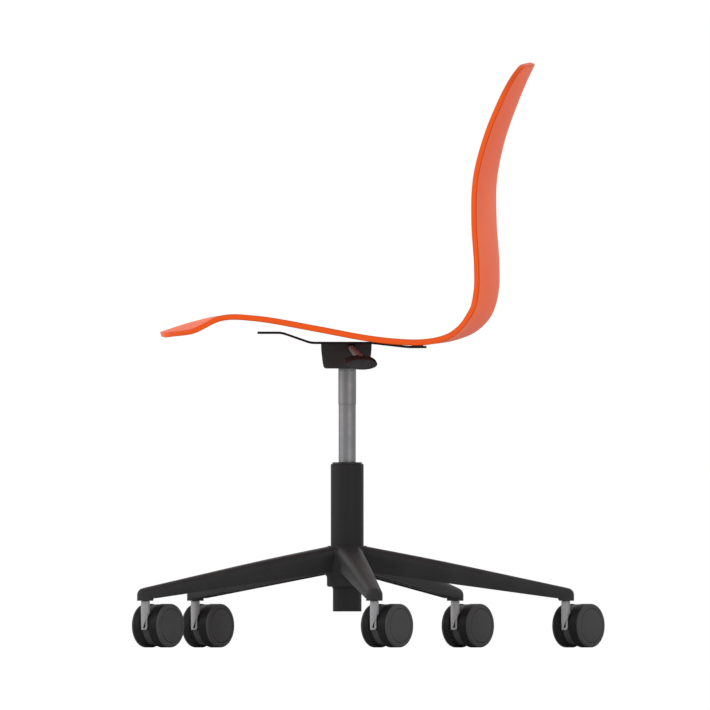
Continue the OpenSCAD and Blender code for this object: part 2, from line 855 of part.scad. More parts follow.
module shell_sheet() {
    size = rows * columns;
    n = len(shell_edge);
    polyhedron(
        points = concat(shell_grid(0), shell_grid(1)),
        faces = concat(
            [for (i = [0:rows - 2], j = [0:columns - 2])
                let (c = cell(i, j, 0)) each [[c[0], c[2], c[1]], [c[0], c[3], c[2]]]],
            [for (i = [0:rows - 2], j = [0:columns - 2])
                let (c = cell(i, j, size)) each [[c[0], c[1], c[2]], [c[0], c[2], c[3]]]],
            [for (k = [0:n - 1]) let (a = shell_edge[k], b = shell_edge[(k + 1) % n])
                each [[a, b, b + size], [a, b + size, a + size]]]));
}

insert_wall = 1.5;
insert_d = screw_d + insert_wall * 2;
boss_h = shell_lift + tail_drop - shell_t + boss_sink;

module seat_shell() {
    color("#eb5a29")
        difference() {
            union() {
                shell_sheet();
                fixings()
                    cylinder(h = boss_h, d = boss_d);
            }
            fixings()
                translate([0, 0, -over])
                    cylinder(h = insert_depth + over, d = insert_d + run_gap * 2);
        }
}

module shell_inserts() {
    color("#b08d4f")
        fixings()
            difference() {
                cylinder(h = insert_depth - run_gap * 2, d = insert_d);
                translate([0, 0, -over])
                    cylinder(h = insert_depth + over * 2, d = screw_d + run_gap * 2);
            }
}

module shell_screws() {
    color("#3a3a3a")
        fixings() {
            difference() {
                union() {
                    translate([0, 0, -plate_t])
                        cylinder(h = plate_t + insert_depth - over, d = screw_d);
                    screw_head(0);
                }
                translate([0, 0, -plate_t - over])
                    cylinder(h = screw_head_h + over, d = screw_d / 2, $fn = 6);
            }
        }
}

// Casters: the stem turns in its socket, and the hood between the wheels carries the axle

body_gap = 0.8;
hood_gap = 0.7;
hood_lift = 0.9;
stem_collar_h = 22;
stem_cone_h = 18;
stem_neck_h = 3.7;
stem_head_h = 3;
stem_head_d = 10.8;
stem_neck_d = 3;
axle_cover = 4.5;
tyre_round = 2.5;
inner_round = 1.5;
tyre_t = 5.5;
web_z = 12;
web_t = 3;
wheel_hub_d = 18;
cap_t = 2;
cap_gap = 0.3;
cap_inset = 1.7;
cap_round = 0.6;
wheel_ribs = 6;
wheel_rib_t = 2;
rib_set = 2;

wheel_r = wheel_d / 2;
stem_waist_z = socket_z - stem_collar_h;
stem_tip_z = stem_waist_z - stem_cone_h;
stem_head_z = stem_tip_z - stem_neck_h;
body_t = wheel_gap - body_gap * 2;
cap_d = wheel_d - (tyre_t + cap_inset) * 2;

module at_caster(i) {
    rotate(arm_turn + (i - 1) * 360 / arm_count)
        translate([stem_r, 0, 0])
            rotate(caster_turn - arm_turn - (i - 1) * 360 / arm_count)
                children();
}

module at_axle(side) {
    translate([caster_trail, side * wheel_gap / 2, wheel_r])
        rotate([-side * 90, 0, 0])
            children();
}

module stem_form(grow) {
    rotate_extrude($fn = 48)
        polygon([
            [0, stem_head_z + stem_head_h], [stem_neck_d / 2 + grow, stem_head_z + stem_head_h],
            [stem_neck_d / 2 + grow, stem_tip_z], [stem_d / 2 + grow, stem_waist_z],
            [stem_d / 2 + grow, socket_z - seat_gap], [0, socket_z - seat_gap]]);
}

module caster_stem() {
    ring_z = socket_z + pin_len * 2 / 3;
    color("#a2a2a4") {
        stem_form(0);
        translate([0, 0, stem_head_z])
            cylinder(h = stem_head_h, d = stem_head_d);
        rotate_extrude($fn = 48)
            polygon([
                [0, socket_z - seat_gap - over / 2], [pin_d / 2, socket_z - seat_gap - over / 2],
                [pin_d / 2, ring_z], [pin_d / 2 - groove, ring_z], [pin_d / 2 - groove, ring_z + clip_t],
                [pin_d / 2, ring_z + clip_t], [pin_d / 2, socket_z + pin_len - rod_chamfer],
                [pin_d / 2 - rod_chamfer, socket_z + pin_len], [0, socket_z + pin_len]]);
    }
}

module caster_body() {
    color("#333334")
        difference() {
            translate([0, body_t / 2, 0])
                rotate([90, 0, 0])
                    linear_extrude(body_t)
                        translate([caster_trail, wheel_r + hood_lift])
                            circle(r = wheel_r - hood_lift - hood_gap, $fn = 96);
            stem_form(run_gap);
            translate([0, 0, stem_head_z - run_gap])
                cylinder(h = stem_head_h + run_gap * 2, d = stem_head_d + run_gap * 2);
            translate([caster_trail, wheel_gap, wheel_r])
                rotate([90, 0, 0])
                    cylinder(h = wheel_gap * 2, d = axle_d);
        }
}

module caster_axle() {
    length = wheel_gap + (wheel_w - axle_cover) * 2;
    color("silver")
        translate([caster_trail, length / 2, wheel_r])
            rotate([90, 0, 0])
                cylinder(h = length, d = axle_d);
}

module caster_wheel(side) {
    color("#2a2a2b")
        at_axle(side) {
            rotate_extrude()
                polygon(concat(
                    [[axle_d / 2 + run_gap, 0], [wheel_hub_d / 2, 0], [wheel_hub_d / 2, web_z],
                     [wheel_r - tyre_t, web_z], [wheel_r - tyre_t, 0]],
                    arc([wheel_r - inner_round, inner_round], inner_round, -90, 90, 3),
                    arc([wheel_r - tyre_round, wheel_w - tyre_round], tyre_round, 0, 90, 6),
                    [[cap_d / 2 + cap_gap, wheel_w], [cap_d / 2 + cap_gap, wheel_w - cap_t],
                     [axle_d / 2 + run_gap, wheel_w - cap_t]]));
            for (k = [0:wheel_ribs - 1])
                rotate(k * 360 / wheel_ribs)
                    translate([wheel_hub_d / 2 - over / 2, -wheel_rib_t / 2, rib_set])
                        cube([
                            wheel_r - tyre_t - wheel_hub_d / 2 + over, wheel_rib_t,
                            web_z - rib_set + web_t / 2]);
        }
}

module caster_cap(side) {
    color("#404041")
        at_axle(side)
            rotate_extrude()
                polygon(concat(
                    [[0, wheel_w - cap_t], [cap_d / 2, wheel_w - cap_t]],
                    arc([cap_d / 2 - cap_round, wheel_w - cap_round], cap_round, 0, 90, 3),
                    [[0, wheel_w]]));
}

star_base();
column_tube();
guide_bush();
bearing_lower_washer();
bearing_balls();
bearing_upper_washer();
rubber_buffer();
retaining_clip();
piston_rod();
piston();
gas_cylinder();
cylinder_gland();
release_pin();
taper_socket();
housing();
lever_arm();
lever_knob();
lever_pivot_pin();
seat_plate();
seat_shell();
shell_inserts();
shell_screws();
for (i = [1:arm_count]) {
    at_caster(i) caster_stem();
    at_caster(i) caster_body();
    at_caster(i) caster_axle();
    at_caster(i) caster_wheel(1);
    at_caster(i) caster_wheel(-1);
    at_caster(i) caster_cap(1);
    at_caster(i) caster_cap(-1);
}
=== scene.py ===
from bisect import bisect_right
import json
import math

import bmesh
import bpy
from mathutils import Matrix, Vector


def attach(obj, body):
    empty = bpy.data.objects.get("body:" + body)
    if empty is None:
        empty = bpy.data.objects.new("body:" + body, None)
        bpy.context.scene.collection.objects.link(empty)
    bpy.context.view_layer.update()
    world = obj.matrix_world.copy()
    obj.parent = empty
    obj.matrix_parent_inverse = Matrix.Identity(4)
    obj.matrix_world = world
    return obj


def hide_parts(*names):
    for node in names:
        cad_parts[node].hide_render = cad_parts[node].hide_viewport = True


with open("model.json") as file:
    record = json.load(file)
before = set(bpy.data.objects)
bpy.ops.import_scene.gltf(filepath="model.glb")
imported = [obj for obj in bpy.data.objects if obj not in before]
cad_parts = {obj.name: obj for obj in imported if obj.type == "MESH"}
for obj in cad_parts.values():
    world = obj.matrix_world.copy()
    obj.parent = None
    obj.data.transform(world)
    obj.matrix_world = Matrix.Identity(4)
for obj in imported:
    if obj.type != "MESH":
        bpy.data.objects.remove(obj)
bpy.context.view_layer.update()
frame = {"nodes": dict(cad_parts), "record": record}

MM = 0.001
# The photograph: its width, what a pixel measures, and the pixels of the column's axis and of the floor
PHOTO_PIXELS = 710
PIXEL_SIZE = 1.5 * MM
COLUMN_PIXEL = 347.2
FLOOR_PIXEL = 647.5


# ---- Shader maths: an expression on values adds its nodes ----

class Value:
    """A node's output. Arithmetic on it adds Math nodes."""

    def __init__(self, graph, socket):
        self.graph = graph
        self.socket = socket

    def math(self, operation, first, second):
        return self.graph.node("ShaderNodeMath", {"operation": operation}, {0: first, 1: second})

    def __add__(self, other):
        return self.math("ADD", self, other)

    def __radd__(self, other):
        return self.math("ADD", other, self)

    def __sub__(self, other):
        return self.math("SUBTRACT", self, other)

    def __rsub__(self, other):
        return self.math("SUBTRACT", other, self)

    def __mul__(self, other):
        return self.math("MULTIPLY", self, other)

    def __rmul__(self, other):
        return self.math("MULTIPLY", other, self)

    def __pow__(self, other):
        return self.math("POWER", self, other)

    def most(self, other):
        """The larger of two values."""
        return self.math("MAXIMUM", self, other)

    def held(self, low, high):
        """The value's share of the way from low to high, kept between 0 and 1."""
        return self.graph.node(
            "ShaderNodeMapRange", {"clamp": True}, {"Value": self, "From Min": low, "From Max": high})


class Graph:
    """A node tree that is filled by calls."""

    def __init__(self, tree):
        self.tree = tree
        tree.nodes.clear()

    def node(self, kind, settings=None, sockets=None, output=0):
        """Adds a node, sets its settings, then gives its sockets values or links."""
        made = self.tree.nodes.new(kind)
        for key, value in (settings or {}).items():
            setattr(made, key, value)
        for key, value in (sockets or {}).items():
            if isinstance(value, Value):
                self.tree.links.new(value.socket, made.inputs[key])
            else:
                made.inputs[key].default_value = value
        return Value(self, made.outputs[output]) if made.outputs else None

    def place(self):
        """Where a point is on its piece at rest, in metres. It moves with the piece."""
        return self.node("ShaderNodeTexCoord", output="Object")

    def stretched(self, x, y, z):
        """The place with its axes scaled: noise is longer along an axis whose number is lower."""
        factors = {0: self.place(), 1: (x, y, z)}
        return self.node("ShaderNodeVectorMath", {"operation": "MULTIPLY"}, factors)

    def cloud(self, size, detail=2.0, where=None):
        """Soft noise whose blobs are about size metres across, from 0 to 1."""
        return self.node("ShaderNodeTexNoise", None, {
            "Vector": where or self.place(), "Scale": 1 / size, "Detail": detail})

    def edges(self, radius):
        """1 along edges that stand out or turn in, and 0 on even faces."""
        round_normal = self.node("ShaderNodeBevel", {"samples": 6}, {"Radius": radius})
        true_normal = self.node("ShaderNodeNewGeometry", output="Normal")
        normals = {0: round_normal, 1: true_normal}
        agreement = self.node(
            "ShaderNodeVectorMath", {"operation": "DOT_PRODUCT"}, normals, output="Value")
        even, sharp = 0.01, 0.2
        return (1 - agreement).held(even, sharp)

    def blend(self, share, first, second):
        """A colour that goes from first to second as share goes from 0 to 1."""
        colours = {0: share, 6: first, 7: second}
        return self.node("ShaderNodeMix", {"data_type": "RGBA"}, colours, output=2)

    def attribute(self, name, output):
        """What the piece's mesh holds under a name."""
        return self.node("ShaderNodeAttribute", {"attribute_name": name}, output=output)

    def axis(self, vector, name):
        return self.node("ShaderNodeSeparateXYZ", None, {0: vector}, output=name)

    def relief(self, height, depth):
        """The normal of a surface that a height from 0 to 1 raises by up to depth metres."""
        return self.node("ShaderNodeBump", None, {"Height": height, "Distance": depth, "Strength": 1.0})

    def surface(self, **sockets):
        """The Principled shader and the output. Underscores in a name stand for spaces."""
        named = {key.replace("_", " "): value for key, value in sockets.items()}
        shader = self.node("ShaderNodeBsdfPrincipled", None, named)
        self.node("ShaderNodeOutputMaterial", None, {"Surface": shader})


def linear(hex_colour):
    """A colour written as on the screen, turned to the numbers that the shader takes."""
    shares = [int(hex_colour[i:i + 2], 16) / 255 for i in (1, 3, 5)]
    return [s / 12.92 if s <= 0.04045 else ((s + 0.055) / 1.055) ** 2.4 for s in shares] + [1.0]


def finish_named(name):
    """A new material and the graph of its nodes."""
    material = bpy.data.materials.new(name)
    material.use_nodes = True
    return material, Graph(material.node_tree)


# ---- Finishes: a colour, the colour it wears to, the size of its grain, its roughness, its specular ----

def moulded(name, colour, scuffed, grain, gloss, specular):
    """Moulded plastic: a fine grain, soft mottling, and edges rubbed paler."""
    material, g = finish_named(name)
    mottle = g.cloud(38 * MM, 4.0)
    grains = g.cloud(grain, 3.0)
    rubbed = g.edges(0.6 * MM) * g.cloud(6 * MM).held(0.35, 0.7)
    tone = g.blend(mottle.held(0.3, 0.7) * 0.35, linear(colour), linear(scuffed))
    g.surface(
        Base_Color=g.blend(rubbed * 0.45, tone, linear(scuffed)),
        Roughness=gloss + (mottle - 0.5) * 0.16 + (grains - 0.5) * 0.1,
        Specular_IOR_Level=specular,
        Normal=g.relief(grains, grain * 0.05))
    return material


def shell_orange():
    """The shell's plastic: satin faces painted pinker and paler than the rim as a painted sheen, a purer
    orange rim, and a painted shade line along the rounding of its edges.
    """
    material, g = finish_named("shell_orange")
    rim = g.attribute("rim", "Fac")
    grains = g.cloud(0.45 * MM, 2.0)
    flow = g.cloud(120 * MM, 3.0)
    rubs = g.cloud(9 * MM, 3.0, g.stretched(1.0, 0.2, 0.2)).held(0.6, 0.85) * flow.held(0.4, 0.7)
    # Painted sheen: the faces are painted a pinker, paler orange than the rim, and the rub marks are laid
    # over them
    faces = g.blend(flow.held(0.35, 0.65), linear("#F4693B"), linear("#EF653E"))
    rubbed = g.blend(rubs * 0.12, faces, linear("#F08460"))
    painted_sheen_faces_and_rim = g.blend(rim, rubbed, linear("#EE5A1E"))
    g.surface(
        # Painted shade: a dark line is painted along the rounding between the faces and the rim
        Base_Color=g.blend(rim * (1 - rim) * 2.8, painted_sheen_faces_and_rim, linear("#A83E16")),
        Roughness=0.46 + (flow - 0.5) * 0.1 + rubs * 0.08 + (grains - 0.5) * 0.05 - rim * 0.06,
        Specular_IOR_Level=0.05,
        Normal=g.relief(grains, 0.004 * MM))
    return material


def powder_coated(name, colour, scuffed, gloss, specular):
    """Powder coat: a low orange peel, with the edges worn a little brighter."""
    material, g = finish_named(name)
    peel = g.cloud(0.9 * MM, 2.0)
    wear = g.edges(0.5 * MM) * g.cloud(5 * MM, 3.0).held(0.4, 0.7)
    mottle = g.cloud(30 * MM, 3.0)
    g.surface(
        Base_Color=g.blend(wear * 0.5, linear(colour), linear(scuffed)),
        Roughness=gloss + (mottle - 0.5) * 0.14 - wear * 0.08,
        Specular_IOR_Level=specular,
        Normal=g.relief(peel, 0.03 * MM))
    return material


def steel(name, colour, gloss, mark_width, mark_length, depth):
    """Bare metal with fine marks of a width and a length in metres, up the Z axis."""
    material, g = finish_named(name)
    marks = g.cloud(mark_width, 4.0, g.stretched(1.0, 1.0, mark_width / mark_length))
    stain = g.cloud(18 * MM, 3.0)
    dim = [c * 0.82 for c in linear(colour)[:3]] + [1.0]
    g.surface(
        Base_Color=g.blend(stain.held(0.35, 0.75) * 0.6 + marks * 0.2, linear(colour), dim),
        Metallic=1.0,
        Roughness=gloss + (marks - 0.5) * 0.14 + (stain - 0.5) * 0.12,
        Normal=g.relief(marks, depth))
    return material


def rubber(name, colour):
    """Matt rubber with paler specks."""
    material, g = finish_named(name)
    specks = g.cloud(0.7 * MM, 3.0)
    g.surface(
        Base_Color=g.blend(specks.held(0.4, 0.8) * 0.4, linear(colour), linear("#3A3A3A")),
        Roughness=0.78 + (specks - 0.5) * 0.12,
        Specular_IOR_Level=0.25,
        Normal=g.relief(specks, 0.05 * MM))
    return material


def wheel_grey():
    """Nylon tyre: a darker tread with dusty scuffs, faces and rounded shoulder painted paler as a painted
    highlight, and edges painted lighter as a painted highlight. Its axle is its Z.
    """
    # Painted highlight: the faces and the rounded shoulder take a paler grey than the tread
    face, darker, dust_and_highlight_colour = linear("#454546"), linear("#1D1D1E"), linear("#6B6B6A")
    material, g = finish_named("wheel_grey")
    own = g.attribute("own_place", "Vector")
    x, y, z = (g.axis(own, name) for name in "XYZ")
    radius = (x * x + y * y) ** 0.5
    tread = radius.held(30.4 * MM, 31.0 * MM) * (1 - z.held(15.4 * MM, 16.2 * MM))
    dust = g.cloud(2.2 * MM, 4.0).held(0.5, 0.72) * tread
    grains = g.cloud(0.5 * MM, 2.0)
    body = g.blend(tread, face, darker)
    # Dust on the tread, and a painted highlight along the edges
    dust_and_edge_highlight = (dust * 0.07).most(g.edges(0.7 * MM) * 0.75)
    g.surface(
        Base_Color=g.blend(dust_and_edge_highlight, body, dust_and_highlight_colour),
        Roughness=0.42 + dust * 0.14 + (grains - 0.5) * 0.1,
        Specular_IOR_Level=0.04,
        Normal=g.relief(grains + dust, 0.03 * MM))
    return material


FINISHES = {
    "base_nylon": moulded("base_nylon", "#2D2D2E", "#3C3C3D", 0.6 * MM, 0.5, 0.07),
    "column_black": powder_coated("column_black", "#2B2B2C", "#4A4A4D", 0.5, 0.06),
    "bush_black": moulded("bush_black", "#1E1E1F", "#343435", 0.4 * MM, 0.42, 0.25),
    "bearing_steel": steel("bearing_steel", "#A8A8AA", 0.3, 0.3 * MM, 0.6 * MM, 0.01 * MM),
    "buffer_rubber": rubber("buffer_rubber", "#1B1B1C"),
    "bright_steel": steel("bright_steel", "#C9C9CC", 0.16, 0.25 * MM, 5 * MM, 0.004 * MM),
    "spring_steel": steel("spring_steel", "#828284", 0.5, 0.35 * MM, 30 * MM, 0.012 * MM),
    "socket_steel": steel("socket_steel", "#77777A", 0.38, 6 * MM, 0.3 * MM, 0.02 * MM),
    "housing_black": powder_coated("housing_black", "#373738", "#48484A", 0.5, 0.02),
    # The lever's grey has a slight cyan tint painted in, to cancel the orange light cast on it by the shell
    "lever_grey": moulded("lever_grey", "#787C7E", "#9A9A9C", 0.5 * MM, 0.5, 0.0),
    "grip_black": moulded("grip_black", "#303031", "#5C5C5E", 0.5 * MM, 0.6, 0.0),
    "plate_black": powder_coated("plate_black", "#181819", "#3C3C3E", 0.5, 0.15),
    "shell_orange": shell_orange(),
    "insert_brass": steel("insert_brass", "#B89556", 0.3, 0.3 * MM, 1 * MM, 0.01 * MM),
    "screw_black": powder_coated("screw_black", "#1E1E1F", "#606063", 0.36, 0.45),
    "stem_zinc": moulded("stem_zinc", "#848486", "#ACACAE", 0.4 * MM, 0.36, 0.4),
    "hood_grey": moulded("hood_grey", "#3A3A3B", "#4E4E4F", 0.4 * MM, 0.44, 0.1),
    "wheel_grey": wheel_grey(),
    "cap_grey": moulded("cap_grey", "#3D3D3E", "#4C4C4E", 0.4 * MM, 0.42, 0.1),
}


# ---- Sizes in millimetres, as in the part's source ----

# Base and column: heights, then distances from the column's axis
socket_z, tip_top, hub_z, hub_top = 70.0, 89.3, 91.0, 152.7
foot_z, ledge_z, tube_top, bush_top = 54.0, 165.5, 275.5, 278.0
stem_r, tip_r, hub_r, tube_r, bush_r, foot_bore_r = 334.0, 12.5, 30.5, 24.7, 21.2, 19.0
arm_turn, arm_count = 7.0, 5
arm_step = 360 / arm_count

# Gas spring, mechanism and lever
spring_foot_z, step_z, housing_z, spring_top = 201.0, 365.6, 418.4, 440.6
lever_y, lever_z, pivot_x, pin_r = 6.4, 449.3, 36.0, 2.6
plate_z, plate_t = 455.1, 3.6
# Corners of the seat plate from its front: how far back, the underside's height, half the width, and
# the radius of the corner
PLATE = [
    (-134.6, 15.2, 95, 12), (-98, 15.2, 95, 12), (-54.5, 0, 46, 22),
    (37.2, 0, 46, 22), (91.2, -6.2, 95, 12), (119, -6.2, 95, 12)]
PLATE_LINE = [(y, z) for y, z, half_w, corner in PLATE]
# Screws of one side: across, back, and the lean of the shell's boss in degrees
SCREWS = [(75, 105.1, 0.0), (35, 52, -6.55)]

# Casters
wheel_r, wheel_w, wheel_gap, caster_trail, caster_turn = 32.8, 19.7, 12.0, 31.0, 142.2


# ---- Outlines ----

# Half of a corner's angle, in radians, from which the corner counts as straight
nearly_straight = 1.56
# Steps of a full turn on large, on middling and on small parts
fine, medium, coarse = 128, 64, 48


def arc(centre, radius, start, sweep, steps):
    """Points along an arc, with its angles in degrees."""
    angles = [math.radians(start + sweep * k / steps) for k in range(steps + 1)]
    return [(centre[0] + radius * math.cos(a), centre[1] + radius * math.sin(a)) for a in angles]


def full_turn(steps):
    """The angles of even steps round a full turn, in radians."""
    return [math.tau * k / steps for k in range(steps)]


def rounded(corners, steps=5):
    """A closed outline from corners of x, y and the radius of an arc. A radius of 0 keeps the corner."""
    outline = []
    for i, (x, y, radius) in enumerate(corners):
        at = Vector((x, y))
        back = (Vector(corners[i - 1][:2]) - at).normalized()
        ahead = (Vector(corners[(i + 1) % len(corners)][:2]) - at).normalized()
        half = back.angle(ahead) / 2
        if radius == 0 or half > nearly_straight:
            outline.append(tuple(at))
            continue
        centre = at + (back + ahead).normalized() * radius / math.sin(half)
        first = at + back * radius / math.tan(half) - centre
        last = at + ahead * radius / math.tan(half) - centre
        start = math.degrees(math.atan2(first.y, first.x))
        sweep = math.degrees(math.atan2(last.y, last.x)) - start
        sweep = (sweep + 180) % 360 - 180
        outline += arc(centre, radius, start, sweep, steps)
    return outline


def drawn_in(outline, inset):
    """The outline, which runs anticlockwise, moved in by a distance."""
    if inset == 0:
        return outline
    count = len(outline)
    moved = []
    for i, point in enumerate(outline):
        before, after = Vector(outline[i - 1]), Vector(outline[(i + 1) % count])
        heading = (after - before).normalized()
        moved.append((point[0] - heading.y * inset, point[1] + heading.x * inset))
    return moved


def mix(first, second, share):
    return first + (second - first) * share


def along(table, place):
    """The value at a place in a table of places and values, on straight lines between them."""
    if place <= table[0][0]:
        return table[0][1]
    for (low, a), (high, b) in zip(table, table[1:]):
        if place <= high:
            return mix(a, b, (place - low) / (high - low))
    return table[-1][1]


def bend_ease(before, at, after, away, reach):
    """How far a soft bend runs above its corner, away from the corner by less than the reach."""
    slope_in = (at[1] - before[1]) / (at[0] - before[0])
    slope_out = (after[1] - at[1]) / (after[0] - at[0])
    eased = (slope_out - slope_in) / (4 * reach) * (away ** 2 + reach ** 2)
    return (slope_in + slope_out) / 2 * away + eased


# ---- Surfaces ----

# In metres: points closer than the first are joined, and edges shorter than the second are dropped
weld, sliver = 2e-6, 1e-6


def added(name, data):
    """A new object of a mesh, a lamp or a camera."""
    thing = bpy.data.objects.new(name, data)
    bpy.context.scene.collection.objects.link(thing)
    return thing


class Form:
    """Closed surfaces in millimetres that make one piece. The list rim holds how far points are on a rim."""

    def __init__(self):
        self.points = []
        self.faces = []
        self.rim = []

    def mesh(self, name):
        made = bpy.data.meshes.new(name)
        made.from_pydata([p * MM for p in self.points], [], self.faces)
        return made

    def loft(self, rings, rings_closed=False, capped=False, where=None):
        """Joins each closed ring of points to the next."""
        base, count = len(self.points), len(rings[0])
        self.points += [where @ Vector(p) if where else Vector(p) for ring in rings for p in ring]
        for i in range(len(rings) if rings_closed else len(rings) - 1):
            one, two = base + i * count, base + (i + 1) % len(rings) * count
            for j in range(count):
                k = (j + 1) % count
                self.faces.append((one + j, one + k, two + k, two + j))
        if capped:
            last = base + (len(rings) - 1) * count
            self.faces.append(tuple(range(base, base + count))[::-1])
            self.faces.append(tuple(range(last, last + count)))

    def turned(self, profile, steps, where=None):
        """A closed profile of radius and height, turned about Z."""
        rings = [[(r * math.cos(a), r * math.sin(a), z) for r, z in profile] for a in full_turn(steps)]
        self.loft(rings, rings_closed=True, where=where)

    def rod(self, path, radii, steps=32):
        """A round bar along a path, with a radius at each of its points."""
        side = Vector((0, 0, 1)).cross(path[1] - path[0]).normalized()
        rings = []
        for i, point in enumerate(path):
            ahead = (path[min(i + 1, len(path) - 1)] - path[max(i - 1, 0)]).normalized()
            side = (side - ahead * side.dot(ahead)).normalized()
            up = ahead.cross(side)
            rings.append([
                point + (side * math.cos(a) + up * math.sin(a)) * radii[i] for a in full_turn(steps)])
        self.loft(rings, capped=True)

    def slab(self, outline, low, high, ease, where=None):
        """An outline drawn up from low to high, its two edges eased."""
        levels = [
            (ease, low), (ease * 0.3, low + ease * 0.3), (0, low + ease),
            (0, high - ease), (ease * 0.3, high - ease * 0.3), (ease, high)]
        rings = [[(x, y, level) for x, y in drawn_in(outline, inset)] for inset, level in levels]
        self.loft(rings, capped=True, where=where)

    def piece(self, name, slot, body, *nodes, sharp=32, place=None):
        """Makes the object, which stands for the nodes and rides on the body. A place moves its mesh."""
        mesh = self.mesh(name)
        if self.rim:
            share = self.rim + [0.0] * (len(self.points) - len(self.rim))
            mesh.attributes.new("rim", "FLOAT", "POINT").data.foreach_set("value", share)
        made = bmesh.new()
        made.from_mesh(mesh)
        bmesh.ops.remove_doubles(made, verts=made.verts, dist=weld)
        bmesh.ops.dissolve_degenerate(made, edges=made.edges, dist=sliver)
        bmesh.ops.recalc_face_normals(made, faces=made.faces)
        made.to_mesh(mesh)
        made.free()
        mesh.shade_smooth()
        mesh.set_sharp_from_angle(angle=math.radians(sharp))
        if place:
            own = mesh.attributes.new("own_place", "FLOAT_VECTOR", "POINT")
            own.data.foreach_set("vector", [n for vert in mesh.vertices for n in vert.co])
            mesh.transform(place)
        mesh.materials.append(FINISHES[slot])
        thing = added(name, mesh)
        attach(thing, body)
        if nodes:
            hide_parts(*nodes)
        return thing


def opened(thing, form):
    """Cuts a form out of a piece."""
    cutter = added("cutter", form.mesh("cutter"))
    cut = thing.modifiers.new("opening", "BOOLEAN")
    cut.operation, cut.solver, cut.object = "DIFFERENCE", "EXACT", cutter
    bpy.context.view_layer.update()
    shape = bpy.data.meshes.new_from_object(thing.evaluated_get(bpy.context.evaluated_depsgraph_get()))
    thing.modifiers.clear()
    bpy.data.objects.remove(cutter)
    finish = thing.data.materials[0]
    thing.data = shape
    shape.materials.clear()
    shape.materials.append(finish)


# ---- Shell ----

# Stations of the side line: share of the run back, of the rise, of the width, and of the dish
SEAT_STATIONS = [
    (-1, 0.324, 0.93, -0.14), (-0.885, 0.717, 0.955, -0.33), (-0.765, 1, 0.975, 0),
    (-0.634, 0.995, 0.99, 0), (-0.386, 0.553, 1, 0), (-0.233, 0.243, 0.995, 0),
    (-0.12, 0.079, 0.985, 0), (0, 0, 0.965, 0.03)]
BACK_STATIONS = [
    (0.18, 0.0048, 0.975, 0.11), (0.305, 0.0144, 0.965, 0.26), (0.479, 0.042, 0.955, 0.68),
    (0.61, 0.094, 0.955, 0.885), (0.673, 0.176, 0.965, 0.975), (0.68, 0.272, 0.98, 1),
    (0.654, 0.431, 1, 0.99), (0.657, 0.575, 0.995, 0.93), (0.732, 0.723, 0.975, 0.81),
    (0.862, 0.868, 0.945, 0.7), (1, 1, 0.92, 0.66)]
seat_w, back_w, seat_run, back_reach = 444.0, 428.0, 391.0, 164.0
seat_crest, back_rise, back_dish = 36.7, 417.0, 32.0
shell_low_y, shell_low_z, shell_t, rim_t, back_rim_t = 110.0, 461.4, 7.0, 9.4, 8.6
corner_r, front_arch, top_arch, rim_power, edge_round = 60.0, 8.0, 15.0, 6, 1.7
# The rim's thickness by the share of the length, and how much of it there is by the distance from an end
RIM_SHARES = [(0, 0.85 * rim_t), (0.2, rim_t), (0.5, rim_t), (0.65, back_rim_t)]
FRONT_RIM = [(0, 1.0), (6, 0.9), (20, 0.35), (45, 0.0)]
insert_r, boss_r, boss_h = 4.6, 9.0, 5.9
# How finely the shell is drawn: steps between stations, the reach of a slope, rows and columns
spine_steps, probe = 18, 4.4
end_margins, inner_rows = [0, 0.3, 0.9, 1.7, 2.8, 4.6, 7.5], 130
flat_columns, corner_columns = 14, 16

stations = [
    (shell_low_y + y * seat_run, shell_low_z + z * seat_crest, w * seat_w / 2, d * back_dish)
    for y, z, w, d in SEAT_STATIONS] + [
    (shell_low_y + y * back_reach, shell_low_z + z * back_rise, w * back_w / 2, d * back_dish)
    for y, z, w, d in BACK_STATIONS]


def station(i):
    """Station i. One more stands beyond each end, in line with the last two."""
    if i < 0:
        return Vector(stations[0]) * 2 - Vector(stations[1])
    if i >= len(stations):
        return Vector(stations[-1]) * 2 - Vector(stations[-2])
    return Vector(stations[i])


def spine_point(i, share):
    """A point of the smooth curve through the stations, between station i and the next."""
    a, b, c, d = (station(i + k) for k in (-1, 0, 1, 2))
    t1 = math.sqrt((b - a).xy.length)
    t2 = t1 + math.sqrt((c - b).xy.length)
    t3 = t2 + math.sqrt((d - c).xy.length)
    t = mix(t1, t2, share)
    ab, bc, cd = a + (b - a) * t / t1, mix(b, c, share), c + (d - c) * (t - t2) / (t3 - t2)
    return mix(ab + (bc - ab) * t / t2, bc + (cd - bc) * (t - t1) / (t3 - t1), share)


class Sheet:
    """The shell's middle line with its width and its dish, by length from the front."""

    def __init__(self):
        last = len(stations) - 1
        spine = [spine_point(i, k / spine_steps) for i in range(last) for k in range(spine_steps)]
        spine.append(Vector(stations[-1]))
        self.run = [0.0]
        for a, b in zip(spine, spine[1:]):
            self.run.append(self.run[-1] + (b - a).xy.length)
        self.spine = spine
        self.length = self.run[-1]

    def at(self, s):
        """The place, half width and dish at a length, which is held between the ends."""
        s = min(max(s, 0.0), self.length)
        i = min(bisect_right(self.run, s) - 1, len(self.run) - 2)
        return mix(self.spine[i], self.spine[i + 1], (s - self.run[i]) / (self.run[i + 1] - self.run[i]))

    def point(self, share, s, depth):
        """A point below the sitting surface by a depth, at a share of the half width."""
        y, z, half_w, dish = self.at(s)
        heading = (self.at(s + probe) - self.at(s - probe)).xy.normalized()
        rise, lean = dish * share * share, 2 * dish * share / half_w
        out = Vector((-lean, -heading.y, heading.x)).normalized()
        return Vector((share * half_w, y - heading.y * rise, z + heading.x * rise)) - out * depth


